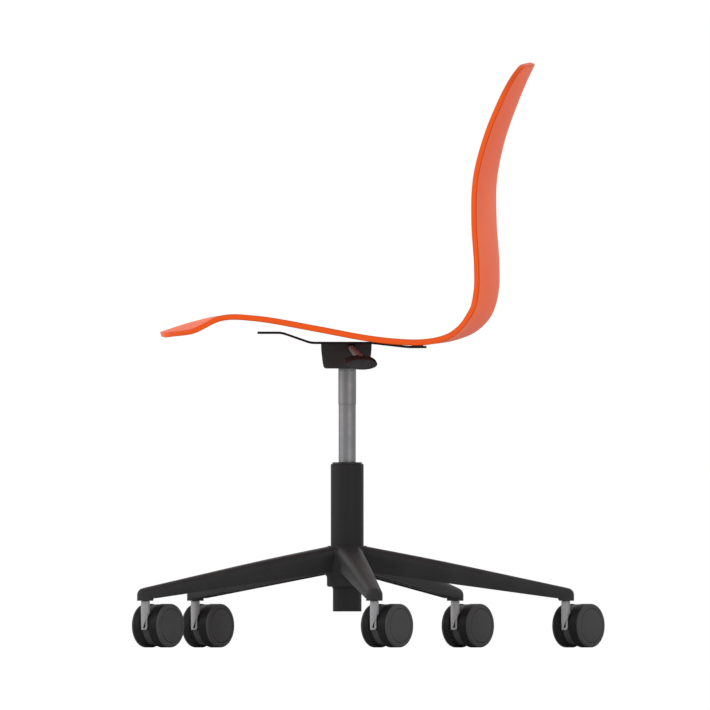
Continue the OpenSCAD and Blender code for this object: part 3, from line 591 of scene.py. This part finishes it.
def end_inset(share, half_w, arch):
    """How far the outline stays short of an end: its arch, and its round corner near the sides."""
    into = abs(share) * half_w - (half_w - corner_r)
    corner = corner_r - math.sqrt(max(corner_r ** 2 - into ** 2, 0)) if into > 0 else 0
    return arch * share * share + corner


def from_edge(share, half_w, length_to_end, arch):
    """How far a point is from the nearest edge, round the corner too."""
    side = (1 - abs(share)) * half_w
    end = length_to_end - arch * share * share
    if side < corner_r and end < corner_r:
        return corner_r - math.hypot(corner_r - side, corner_r - end)
    return min(side, end)


def shell_section(sheet, share, row):
    """The upper and the lower point at a share of the half width, and how far it is on the rim."""
    low = end_inset(share, stations[0][2], front_arch)
    high = sheet.length - end_inset(share, stations[-1][2], top_arch)
    s = mix(low, high, row)
    half_w = sheet.at(s)[2]
    gap = min(from_edge(share, half_w, s, front_arch),
              from_edge(share, half_w, sheet.length - s, top_arch))
    into = max(edge_round - max(gap, 0), 0)
    ease = edge_round - math.sqrt(max(edge_round ** 2 - into ** 2, 0))
    near_end = max(along(FRONT_RIM, s), along(FRONT_RIM, sheet.length - s))
    thick = mix(shell_t, along(RIM_SHARES, row), max(abs(share) ** rim_power, near_end))
    return sheet.point(share, s, ease), sheet.point(share, s, thick - ease), into / edge_round


def shell_columns():
    """Shares of the half width, closer together where the corners are round."""
    flat = 1 - corner_r / (seat_w / 2)
    half = [flat * k / flat_columns for k in range(flat_columns)]
    half += [
        mix(flat, 1, math.sin(math.radians(90 * k / corner_columns))) for k in range(corner_columns + 1)]
    return [-s for s in half[:0:-1]] + half


def shell_rows(length):
    """Shares of the length, closer together at the ends."""
    rows = [margin / length for margin in end_margins]
    inner = [mix(rows[-1], 1 - rows[-1], k / inner_rows) for k in range(1, inner_rows)]
    return rows + inner + [1 - r for r in rows[::-1]]


def screw_boss(form, x, y, lean):
    where = Matrix.Translation((x, y, plate_z + plate_t + along(PLATE_LINE, y)))
    where = where @ Matrix.Rotation(math.radians(lean), 4, "X")
    profile = [(insert_r, 0, 0.3), (boss_r, 0, 0.8), (boss_r, boss_h, 0), (insert_r, boss_h, 0)]
    form.turned(rounded(profile), coarse, where)


def seat_shell():
    sheet = Sheet()
    columns = shell_columns()
    form = Form()
    rings = []
    for row in shell_rows(sheet.length):
        upper, lower, rim = zip(*(shell_section(sheet, share, row) for share in columns))
        rings.append(upper + lower[::-1])
        form.rim += rim + rim[::-1]
    form.loft(rings)
    count = len(rings[0])
    for base in (0, (len(rings) - 1) * count):
        for j in range(len(columns) - 1):
            form.faces.append((base + j, base + j + 1, base + count - 2 - j, base + count - 1 - j))
    for side in (-1, 1):
        for x, y, lean in SCREWS:
            screw_boss(form, side * x, y, lean)
    form.piece("shell", "shell_orange", "seat", "seat_shell", sharp=38)


# ---- Seat plate and mechanism ----

bend_reach, bend_cuts = 6.0, 4
notch_w, notch_corner, notch_mouth = 35, 14, 4
ear_hole, screw_hole_r, hole_steps = (75, -116.3, 3.3), 5.7, 32
cup_len, cup_w, cup_y, cup_h, cup_t = 90, 76, -1.3, 36.7, 3.0
# The cup's side from its mouth to its foot: how far it is drawn in, and the height over the foot
CUP_SIDE = [
    (0, cup_h), (0.1, 30.0), (0.5, 25.2), (1.0, 20.2), (2.7, 7.4),
    (3.3, 4.4), (4.4, 1.7), (5.9, 0.3), (8, 0)]
cup_corner, cup_inner_corner, sleeve_hole_r = 10, 7, 18.95
slot_w, slot_low, slot_high, slot_corner, slot_from, slot_to = 11.0, 443.7, 456.0, 4.5, 38.5, 50
lug_t, lug_from, lug_to, lug_low, lug_high = 3.0, 28, 43, 440, 454.3
LUGS = [("front", -5.2), ("rear", 14.8)]


def plate_height(y):
    """The height of the sheet's underside, with its bends eased."""
    height = along(PLATE_LINE, y)
    for before, at, after in zip(PLATE_LINE, PLATE_LINE[1:], PLATE_LINE[2:]):
        away = y - at[0]
        if abs(away) < bend_reach:
            height = at[1] + bend_ease(before, at, after, away, bend_reach)
    return height


def plate_loops():
    """The sheet's outline and its holes, seen from above."""
    front_y, ear_y = PLATE[0][0], PLATE[1][0]
    right = [(half_w, y, corner) for y, z, half_w, corner in PLATE]
    left = [(-x, y, corner) for x, y, corner in reversed(right)]
    notch = [
        (-notch_w, front_y, notch_mouth), (-notch_w, ear_y, notch_corner),
        (notch_w, ear_y, notch_corner), (notch_w, front_y, notch_mouth)]
    outline = rounded(right + left + notch, 7)
    holes = [(side * ear_hole[0], ear_hole[1], ear_hole[2]) for side in (-1, 1)]
    holes += [(side * x, y, screw_hole_r) for side in (-1, 1) for x, y, lean in SCREWS]
    sweep = 360 - 360 / hole_steps
    return [outline] + [arc((x, y), r, 0, sweep, hole_steps - 1) for x, y, r in holes]


def seat_plate():
    """The sheet seen from above is filled, cut along its bends, and then drawn up to its thickness."""
    sheet = bmesh.new()
    for loop in plate_loops():
        verts = [sheet.verts.new((x, y, 0)) for x, y in loop]
        for a, b in zip(verts, verts[1:] + verts[:1]):
            sheet.edges.new((a, b))
    bmesh.ops.triangle_fill(sheet, use_beauty=True, use_dissolve=False, edges=sheet.edges[:])
    for at, height in PLATE_LINE[1:-1]:
        for k in range(-bend_cuts, bend_cuts + 1):
            where = (0, at + bend_reach * k / bend_cuts, 0)
            everything = sheet.verts[:] + sheet.edges[:] + sheet.faces[:]
            bmesh.ops.bisect_plane(sheet, geom=everything, plane_co=where, plane_no=(0, 1, 0), dist=1e-4)
    sheet.verts.index_update()
    count = len(sheet.verts)
    form = Form()
    for lift in (0, plate_t):
        form.points += [
            Vector((v.co.x, v.co.y, plate_z + plate_height(v.co.y) + lift)) for v in sheet.verts]
    for face in sheet.faces:
        corners = [v.index for v in face.verts]
        form.faces += [corners[::-1], [count + i for i in corners]]
    for edge in sheet.edges:
        if edge.is_boundary:
            a, b = (v.index for v in edge.verts)
            form.faces.append([a, b, count + b, count + a])
    sheet.free()
    form.piece("plate", "plate_black", "seat", "seat_plate")


def cup_rings(inset, low, corner):
    """Rings of the cup's wall from its mouth down, all drawn in by an inset and none under a height."""
    rings = []
    for draw, z in CUP_SIDE:
        half_x, half_y = cup_len / 2 - draw - inset, cup_w / 2 - draw - inset
        signs = [(-1, -1), (1, -1), (1, 1), (-1, 1)]
        corners = [(half_x * i, cup_y + half_y * j, corner) for i, j in signs]
        rings.append([(x, y, housing_z + max(z, low)) for x, y in rounded(corners, 8)])
    return rings


def housing():
    form = Form()
    outer = cup_rings(0, 0, cup_corner)
    headings = [math.atan2(y, x) for x, y, z in outer[-1]]
    hole = [
        [(sleeve_hole_r * math.cos(a), sleeve_hole_r * math.sin(a), housing_z + z) for a in headings]
        for z in (0, cup_t)]
    form.loft(outer + hole + cup_rings(cup_t, cup_t, cup_inner_corner)[::-1], rings_closed=True)
    cup = form.piece("mechanism_cup", "housing_black", "seat", "housing", sharp=50)
    slot = Form()
    near, far = lever_y - slot_w / 2, lever_y + slot_w / 2
    outline = rounded([
        (near, slot_high, 0), (near, slot_low, slot_corner),
        (far, slot_low, slot_corner), (far, slot_high, 0)])
    slot.loft([[(x, y, z) for y, z in outline] for x in (slot_from, slot_to)], capped=True)
    opened(cup, slot)
    for name, y in LUGS:
        lug = Form()
        outline = [(lug_from, y), (lug_to, y), (lug_to, y + lug_t), (lug_from, y + lug_t)]
        lug.slab(outline, lug_low, lug_high, 0.4)
        lug.piece(f"lever_lug_{name}", "housing_black", "seat")


# ---- Lever ----

# From the pivot over a bend down to the grip, with the rod's radius by how far out it is
LEVER_LINE = [(pivot_x, lever_y, lever_z), (48, lever_y, lever_z), (147, 21, 432)]
LEVER_SIZES = [(48, 4.4), (147, 6.0)]
lever_bend_r, lever_collar_r, lever_collar_w, blade_t = 9, 5, 16, 5
# The inner blade, which presses the valve pin, seen from above
BLADE = [
    (5, -5, 3), (25, -1.3, 4), (36, -1.3, 0), (36, 14.1, 0),
    (25, 14.1, 4), (5, 5, 3), (-5, 5, 3), (-5, -5, 3)]
# The grip: its inner end, the way to its outer end, half its width and height, and its size along it
grip_from, grip_way = Vector((135, 17.7, 430.6)), Vector((50, 5.0, -6.3))
grip_half_w, grip_half_h, grip_steps = 24.3, 8.6, 72
GRIP_SIZES = [
    (0, 0.84), (0.015, 0.9), (0.05, 0.95), (0.12, 0.985), (0.25, 1.0), (0.5, 0.99), (0.75, 0.97),
    (0.88, 0.95), (0.95, 0.93), (0.985, 0.9), (1, 0.87), (1, 0.8), (0.99, 0.78), (0.985, 0.74)]


def eased_path(points, radius, steps=8):
    """A path through points in space, with a bend in place of each corner."""
    path = [Vector(points[0])]
    for before, at, after in zip(points, points[1:], points[2:]):
        at = Vector(at)
        first = at + (Vector(before) - at).normalized() * radius
        last = at + (Vector(after) - at).normalized() * radius
        for k in range(steps + 1):
            share = k / steps
            path.append(mix(mix(first, at, share), mix(at, last, share), share))
    return path + [Vector(points[-1])]


def lever_arm():
    form = Form()
    path = eased_path(LEVER_LINE, lever_bend_r)
    form.rod(path, [along(LEVER_SIZES, p.x) for p in path])
    across = Matrix.Translation((pivot_x, lever_y - lever_collar_w / 2, lever_z))
    across = across @ Matrix.Rotation(math.radians(-90), 4, "X")
    collar = [
        (pin_r, 0, 0.2), (lever_collar_r, 0, 0.8),
        (lever_collar_r, lever_collar_w, 0.8), (pin_r, lever_collar_w, 0.2)]
    form.turned(rounded(collar), coarse, across)
    form.slab(rounded(BLADE), lever_z - blade_t / 2, lever_z + blade_t / 2, 0.6)
    form.piece("lever", "lever_grey", "lever", "lever_arm")


def lever_knob():
    """The grip is an oval bar, sheared so that it runs down and back as the rod does."""
    form = Form()
    rings = []
    for share, size in GRIP_SIZES:
        x, y, z = grip_from + grip_way * share
        wide, high = grip_half_w * size, grip_half_h * size
        rings.append([(x, y + wide * math.cos(a), z + high * math.sin(a)) for a in full_turn(grip_steps)])
    form.loft(rings, capped=True)
    form.piece("lever_grip", "grip_black", "lever", "lever_knob", sharp=55)


# ---- Column and gas spring ----

def column():
    form = Form()
    floor_low, floor_high, rod_r = 62, 66, 4.3
    form.turned(rounded([
        (21.5, foot_z, 1), (21.5, 87.5, 2), (23, hub_z, 3), (tube_r, hub_top, 3), (tube_r, tube_top, 1.8),
        (bush_r, tube_top, 0.4), (bush_r, ledge_z, 0), (foot_bore_r, ledge_z, 0),
        (foot_bore_r, floor_high, 0), (rod_r, floor_high, 0), (rod_r, floor_low, 0),
        (foot_bore_r, floor_low, 0), (foot_bore_r, foot_z, 0.6)]), fine)
    form.piece("stand_tube", "column_black", "base", "column_tube")


def guide():
    form = Form()
    outer_r, collar_r, bore_r, mouth_r = 21.15, 22.4, 12.95, 13.9
    form.turned(rounded([
        (bore_r, ledge_z, 0.4), (outer_r, ledge_z, 0.4), (outer_r, tube_top, 0), (collar_r, tube_top, 0),
        (collar_r, bush_top, 1.4), (mouth_r, bush_top, 0.7), (mouth_r, 248.1, 0),
        (bore_r, 245.6, 0)]), fine)
    form.piece("bush", "bush_black", "base", "guide_bush")


def gas_spring():
    form = Form()
    chamber_r, lower_r, upper_r, cone_top_r, valve_r, top_t = 11, 12.9, 13.4, 12.8, 3.05, 11
    form.turned(rounded([
        (chamber_r, spring_foot_z, 0.3), (lower_r, spring_foot_z, 0.6), (lower_r, step_z - 1.5, 0.8),
        (upper_r, step_z, 0.8), (upper_r, housing_z, 0), (cone_top_r, spring_top, 0.8),
        (valve_r, spring_top, 0.2), (valve_r, spring_top - top_t, 0),
        (chamber_r, spring_top - top_t, 0)]), fine)
    form.piece("spring_tube", "spring_steel", "seat", "gas_cylinder", sharp=50)


# ---- Star base ----

# The line of an arm's back: at the hub, at its soft bend, and where it meets the tip's dome
root_r, mid_r, dome_touch = 22.5, 140.9, 338.2
mid_top, dome_touch_z, crown_reach = 130.6, 89.07, 60.0
ARM_TOP = [(root_r, hub_top), (mid_r, mid_top), (dome_touch, dome_touch_z)]
arm_bottom_in, arm_bottom_out, arm_w, keel_w, arm_corner = 114.2, 73.8, 41, 30, 12
dome_z, dome_r, dome_flat = 78.8, 10.5, 2.0
dome_steps = 10
# The small chamfer along an arm's foot: how far in and up, and at the tip what share out and how far up
CHAMFER = [(1.2, 0.0), (0.35, 0.35), (0.0, 1.2)]
TIP_CHAMFER = [(0.9, 0.0), (0.97, 0.35), (1.0, 1.2)]
# The hollow from below, from near the hub to near the tip, and its ribs
pocket_in, pocket_out, pocket_half_in, pocket_half_out = 38.5, 314.5, 11.5, 9
pocket_steps, pocket_edge, pocket_roof, pocket_shoulder, pocket_narrow = 36, 0.4, 5, 0.85, 0.82
rib_count, rib_t, rib_reach, rib_lift, rib_drop = 4, 2.5, 12, 0.8, 4.5
long_rib_past, long_rib_lift, long_rib_drop = 2, 0.5, 4
# Where an arm's cross sections stand before the hollow, after it, and past the caster's axis
ROOT_ROWS, NECK_ROWS = [root_r, 30], [321.5, 328]
TIP_ROWS = [0, 2, 4.2, 6, 7.6, 9, 10.2, 11.2, 11.9, 12.3, 12.46]
# The boss round a caster's socket, by radius and height
SOCKET = [
    (5.55, 84), (5.55, 70.6), (6.1, socket_z), (11.7, socket_z), (12.3, 70.25), (tip_r, 70.9),
    (tip_r, 72.5), (tip_r, 74.2), (tip_r, 76), (9, 84)]
socket_cut_z, socket_cut_slope = 74.4, 0.95


def arm_top(r):
    """The height of an arm's back: two slopes that meet in a long soft bend."""
    away = r - mid_r
    if abs(away) < crown_reach:
        return mid_top + bend_ease(*ARM_TOP, away, crown_reach)
    return along(ARM_TOP, r)


def arm_ridge(r):
    """The straight line from the hub's top to the tip's, which the hollow's roof and ribs keep to."""
    return mix(hub_top, tip_top, (r - root_r) / (stem_r - root_r))


def arm_outline(r):
    """Half of an arm's cross section, from its foot up to the middle, and the height of its foot."""
    bottom = mix(arm_bottom_in, arm_bottom_out, min((r - root_r) / (stem_r - tip_r - root_r), 1))
    if r <= stem_r:
        share = (r - root_r) / (stem_r - root_r)
        half, corner, top = mix(arm_w, tip_r * 2, share) / 2, mix(arm_corner, dome_r, share), arm_top(r)
        foot = mix(keel_w, tip_r * 2, share) / 2
        side = [(foot - inward, bottom + up) for inward, up in CHAMFER]
        return side + arc((half - corner, top - corner), corner, 0, 90, dome_steps), bottom
    out = r - stem_r
    widest = math.sqrt(max(tip_r ** 2 - out ** 2, 0.01))
    turn = math.acos(min(max((out - dome_flat) / dome_r, 0), 1))
    back = []
    for k in range(dome_steps + 1):
        reach = dome_flat + dome_r * math.cos(turn * k / dome_steps)
        height = dome_z + dome_r * math.sin(turn * k / dome_steps)
        back.append((math.sqrt(max(reach ** 2 - out ** 2, 0)), height))
    back[-1] = (0.0 if out > dome_flat else math.sqrt(dome_flat ** 2 - out ** 2), back[-1][1])
    lift = max(arm_top(r) - back[-1][1], 0) if r < dome_touch else 0
    side = [(widest * share, bottom + up) for share, up in TIP_CHAMFER]
    return side + [(x, z + lift * (z - dome_z) / dome_r) for x, z in back], bottom


def arm_section(r):
    """The whole cross section, with the hollow where there is one and a closed slit elsewhere."""
    outline, bottom = arm_outline(r)
    share = (r - pocket_in) / (pocket_out - pocket_in)
    roof = arm_ridge(r) - pocket_roof if pocket_in < r < pocket_out else bottom
    half = min(mix(pocket_half_in, pocket_half_out, min(max(share, 0), 1)), outline[0][0])
    inner = [(half, bottom), (half, mix(bottom, roof, pocket_shoulder)), (half * pocket_narrow, roof)]
    right = inner[::-1] + outline
    return [(r, x, z) for x, z in right + [(-x, z) for x, z in right[::-1]]]


def arm_ribs(form, where):
    half_t = rib_t / 2
    for k in range(1, rib_count + 1):
        x = mix(pocket_in, pocket_out, k / (rib_count + 1))
        plate = [(x, -rib_reach), (x + rib_t, -rib_reach), (x + rib_t, rib_reach), (x, rib_reach)]
        form.slab(plate, arm_outline(x)[1] + rib_lift, arm_top(x) - rib_drop, 0.3, where)
    ends = []
    for x in (pocket_in - long_rib_past, pocket_out + long_rib_past):
        bottom, top = arm_outline(x)[1] + long_rib_lift, arm_ridge(x) - long_rib_drop
        ends.append([(x, -half_t, bottom), (x, half_t, bottom), (x, half_t, top), (x, -half_t, top)])
    form.loft(ends, capped=True, where=where)


def arm_socket(form, where):
    """The boss round the socket, cut short towards the hollow."""
    rings = []
    for radius, z in SOCKET:
        furthest = tip_r - max(socket_cut_z - z, 0) * socket_cut_slope
        turned = [(max(radius * math.cos(a), -furthest), radius * math.sin(a)) for a in full_turn(medium)]
        rings.append([(stem_r + x, y, z) for x, y in turned])
    form.loft(rings, rings_closed=True, where=where)


def arm(form, turn):
    where = Matrix.Rotation(math.radians(turn), 4, "Z")
    rows = ROOT_ROWS + [pocket_in, pocket_in + pocket_edge]
    rows += [mix(pocket_in, pocket_out, k / pocket_steps) for k in range(1, pocket_steps)]
    rows += [pocket_out - pocket_edge, pocket_out] + NECK_ROWS
    rows += [stem_r + out for out in TIP_ROWS]
    form.loft([arm_section(r) for r in rows], capped=True, where=where)
    arm_ribs(form, where)
    arm_socket(form, where)


def star_base():
    form = Form()
    hub = [(23, hub_z, 0.4), (hub_r, hub_z, 3), (hub_r, hub_top, 3), (tube_r, hub_top, 0.5)]
    form.turned(rounded(hub, 6), fine)
    web = [(24, 96, 0), (36.08, 114.2, 2), (36.08, 146, 4), (24, 150, 0)]
    form.turned(rounded(web), fine)
    for i in range(arm_count):
        arm(form, arm_turn + arm_step * i)
    form.piece("five_arm_base", "base_nylon", "base", "star_base", sharp=42)


# ---- Casters ----

leg_side = caster_turn + 90.0
left_step, right_step = 5.4, 1.0
rim_r, drum_r, axle_hub_r, axle_r, face_r, cap_r, cap_t = 31.0, 27.3, 9, 4.05, 26.0, 25.35, 2
hollow, spoke_count, spoke_t, spoke_from, spoke_to, spoke_sunk = 12, 6, 2, 2, 13, 0.4
# How far each wheel is rolled at rest: a step by the caster and a step by the side
roll_step, side_roll = 37, 100
stem_mid_r, stem_flat, cut_steps = 6.68, 5.7, 48
# The stem's notch from its top down: height, reach across it, and how far out it may go
THROAT = [(51, 6.6, 6.65), (48.2, 5.3, 6.65), (47.6, 5.1, 2.6), (45, 4.2, 1.8), (41.9, 3.2, 0.8)]
LEG = [(42.5, 0.6, 0.8), (38, -0.9, 0), (34, -2.2, 0), (28.5, -3.8, 0)]
# The strip's section, across the notch and along it
STRIP = [(-0.3, 2.7), (-0.1, 4.6), (2.2, 4.8), (3.0, 4.3), (3.0, 2.7)]
strip_top, strip_foot, leg_taper, disc_out = 43, 28.5, 0.03, 1.6


def caster_place(i):
    turn = math.radians(arm_turn + arm_step * (i - 1))
    out = Matrix.Rotation(turn, 4, "Z") @ Matrix.Translation((stem_r * MM, 0, 0))
    return out @ Matrix.Rotation(math.radians(caster_turn) - turn, 4, "Z")


def axle_place(side):
    middle = Matrix.Translation((caster_trail * MM, side * wheel_gap / 2 * MM, wheel_r * MM))
    return middle @ Matrix.Rotation(math.radians(-90 * side), 4, "X")


def wheel_form(step):
    """A tyre whose tread starts a step out from its inner rim, over six spokes."""
    form = Form()
    recess = wheel_w - cap_t
    form.turned(rounded([
        (axle_r, 0, 0), (axle_hub_r, 0, 0.5), (axle_hub_r, hollow, 1.5),
        (drum_r, hollow, 1.5), (drum_r, 0, 0.6),
        (rim_r, 0, 0.4), (rim_r, step, 0.1), (wheel_r, step, 0.3), (wheel_r, wheel_w, 2.5),
        (face_r, wheel_w, 0.4), (face_r, recess, 0), (axle_r, recess, 0)], 7), fine)
    near, far, half_t = axle_hub_r - spoke_sunk, drum_r + spoke_sunk, spoke_t / 2
    spoke = [(near, -half_t), (far, -half_t), (far, half_t), (near, half_t)]
    for turn in full_turn(spoke_count):
        form.slab(spoke, spoke_from, spoke_to, 0.2, Matrix.Rotation(turn, 4, "Z"))
    return form


def cap_form():
    form = Form()
    back = wheel_w - cap_t
    form.turned(rounded([(0, back, 0), (cap_r, back, 0), (cap_r, wheel_w, 0.5), (0, wheel_w, 0)]), fine)
    return form


def cut_round(radius, reach, low_x, z):
    """A round bar's section short of a reach across it, clear of the wheels and the hood."""
    half = math.degrees(math.acos(min(max(-reach / radius, -1), 1)))
    curve = arc((0, 0), radius, -leg_side - half, half * 2, cut_steps)
    return [(min(x, low_x), min(max(y, -stem_flat), stem_flat), z) for x, y in curve]


def stem_form():
    """The stem: at its foot a notch splits it into a leg and a strip, which end on a small disc."""
    form = Form()
    form.turned(rounded([
        (0, 50, 0), (6.7, 50.8, 0), (6.7, 69.7, 0.5), (5.5, 69.7, 0), (5.5, 80.3, 0), (4.9, 80.3, 0),
        (4.9, 82.3, 0), (5.5, 82.3, 0), (5.5, 85.5, 0.8), (0, 85.5, 0)]), medium)
    form.loft([cut_round(stem_mid_r, reach, low_x, z) for z, reach, low_x in THROAT], capped=True)
    form.loft([
        cut_round(stem_mid_r - (LEG[0][0] - z) * leg_taper, reach, low_x, z)
        for z, reach, low_x in LEG], capped=True)
    across = (math.cos(math.radians(leg_side)), -math.sin(math.radians(leg_side)))
    ahead = (-across[1], across[0])
    section = [(across[0] * -u + ahead[0] * v, across[1] * -u + ahead[1] * v) for u, v in STRIP]
    form.loft([[(x, y, z) for x, y in section] for z in (strip_top, strip_foot)], capped=True)
    offset = Matrix.Translation((across[0] * disc_out, across[1] * disc_out, 0))
    disc = [(0, 26.4, 0), (4.6, 26.4, 0.5), (4.6, 29.7, 0.5), (0, 29.7, 0)]
    form.turned(rounded(disc), medium, offset)
    return form


def casters():
    for i in range(1, arm_count + 1):
        at, caster = caster_place(i), f"caster_{i}"
        stem_form().piece(f"stem_{i}", "stem_zinc", caster, f"{caster}_stem", place=at)
        for side, hand, step in ((1, "left", left_step), (-1, "right", right_step)):
            spin = Matrix.Rotation(math.radians(roll_step * i + side_roll * side), 4, "Z")
            axle, body = at @ axle_place(side) @ spin, f"{caster}_{hand}"
            wheel_form(step).piece(
                f"wheel_{i}_{hand}", "wheel_grey", body, f"{caster}_wheel_{hand}", place=axle)
            cap_form().piece(
                f"wheel_cap_{i}_{hand}", "cap_grey", body, f"{caster}_cap_{hand}", place=axle)


# ---- The nodes that keep their own shape ----

def dress_frame():
    slots = {part["node"]: part["slot"] for part in frame["record"]["materials"] if "node" in part}
    for name, thing in frame["nodes"].items():
        old = thing.data.materials[0].name.split(".")[0] if thing.data.materials else ""
        finish = FINISHES.get(slots.get(name, old), FINISHES["column_black"])
        for place in thing.material_slots:
            place.material = finish


# ---- Room, light and camera ----

room_light, window_side, beam = 0.83, 0.14, 100
floor_half, lens_away = 40, 4
lamp_target = Vector((0, 0, 0.45))


def white_room():
    """Even light that is a little stronger from the photograph's left. Seen or mirrored, it is white."""
    world = bpy.data.worlds.new("white_room")
    bpy.context.scene.world = world
    world.use_nodes = True
    g = Graph(world.node_tree)
    path = "ShaderNodeLightPath"
    seen = g.node(path, output="Is Camera Ray").most(g.node(path, output="Is Transmission Ray"))
    seen = seen.most(g.node(path, output="Is Glossy Ray"))
    to_right = g.axis(g.node("ShaderNodeTexCoord", output="Generated"), "Y")
    light = room_light - to_right * window_side
    strength = light + (1 - light) * seen
    glow = g.node("ShaderNodeBackground", None, {"Color": (1, 1, 1, 1), "Strength": strength})
    g.node("ShaderNodeOutputWorld", None, {"Surface": glow})


def floor():
    mesh = bpy.data.meshes.new("floor")
    corners = [(x * floor_half, y * floor_half, 0) for x, y in ((-1, -1), (1, -1), (1, 1), (-1, 1))]
    mesh.from_pydata(corners, [], [(0, 1, 2, 3)])
    material, g = finish_named("floor_white")
    grain = g.cloud(60 * MM, 3.0)
    g.surface(
        Base_Color=g.blend(grain, linear("#E9E9E9"), linear("#EDEDED")),
        Roughness=0.75 + (grain - 0.5) * 0.1, Specular_IOR_Level=0.2)
    mesh.materials.append(material)
    added("floor", mesh)


def soft_lamp(name, place, width, height, power):
    """A soft rectangle of light that faces the middle of the chair."""
    lamp = bpy.data.lights.new(name, "AREA")
    lamp.shape = "RECTANGLE"
    lamp.size, lamp.size_y = width, height
    lamp.energy = power
    lamp.spread = math.radians(beam)
    thing = added(name, lamp)
    thing.location = place
    thing.rotation_euler = (lamp_target - Vector(place)).to_track_quat("-Z", "Y").to_euler()


def camera():
    """A camera without perspective at the photograph's scale, level and square to the chair's side."""
    lens = bpy.data.cameras.new("photo_view")
    lens.type = "ORTHO"
    lens.ortho_scale = PHOTO_PIXELS * PIXEL_SIZE
    thing = added("photo_view", lens)
    middle = PHOTO_PIXELS / 2
    across, height = (middle - COLUMN_PIXEL) * PIXEL_SIZE, (FLOOR_PIXEL - middle) * PIXEL_SIZE
    thing.location = (lens_away, across, height)
    thing.rotation_euler = (math.radians(90), 0, math.radians(90))
    bpy.context.scene.camera = thing


seat_shell()
seat_plate()
housing()
lever_arm()
lever_knob()
column()
guide()
gas_spring()
star_base()
casters()
dress_frame()
white_room()
floor()
soft_lamp("window", (0.5, -3.3, 1.15), 3.0, 0.9, 13)
soft_lamp("fill", (3.4, 2.1, 0.8), 1.6, 1.2, 7)
camera()
bpy.context.scene.view_settings.view_transform = "Standard"
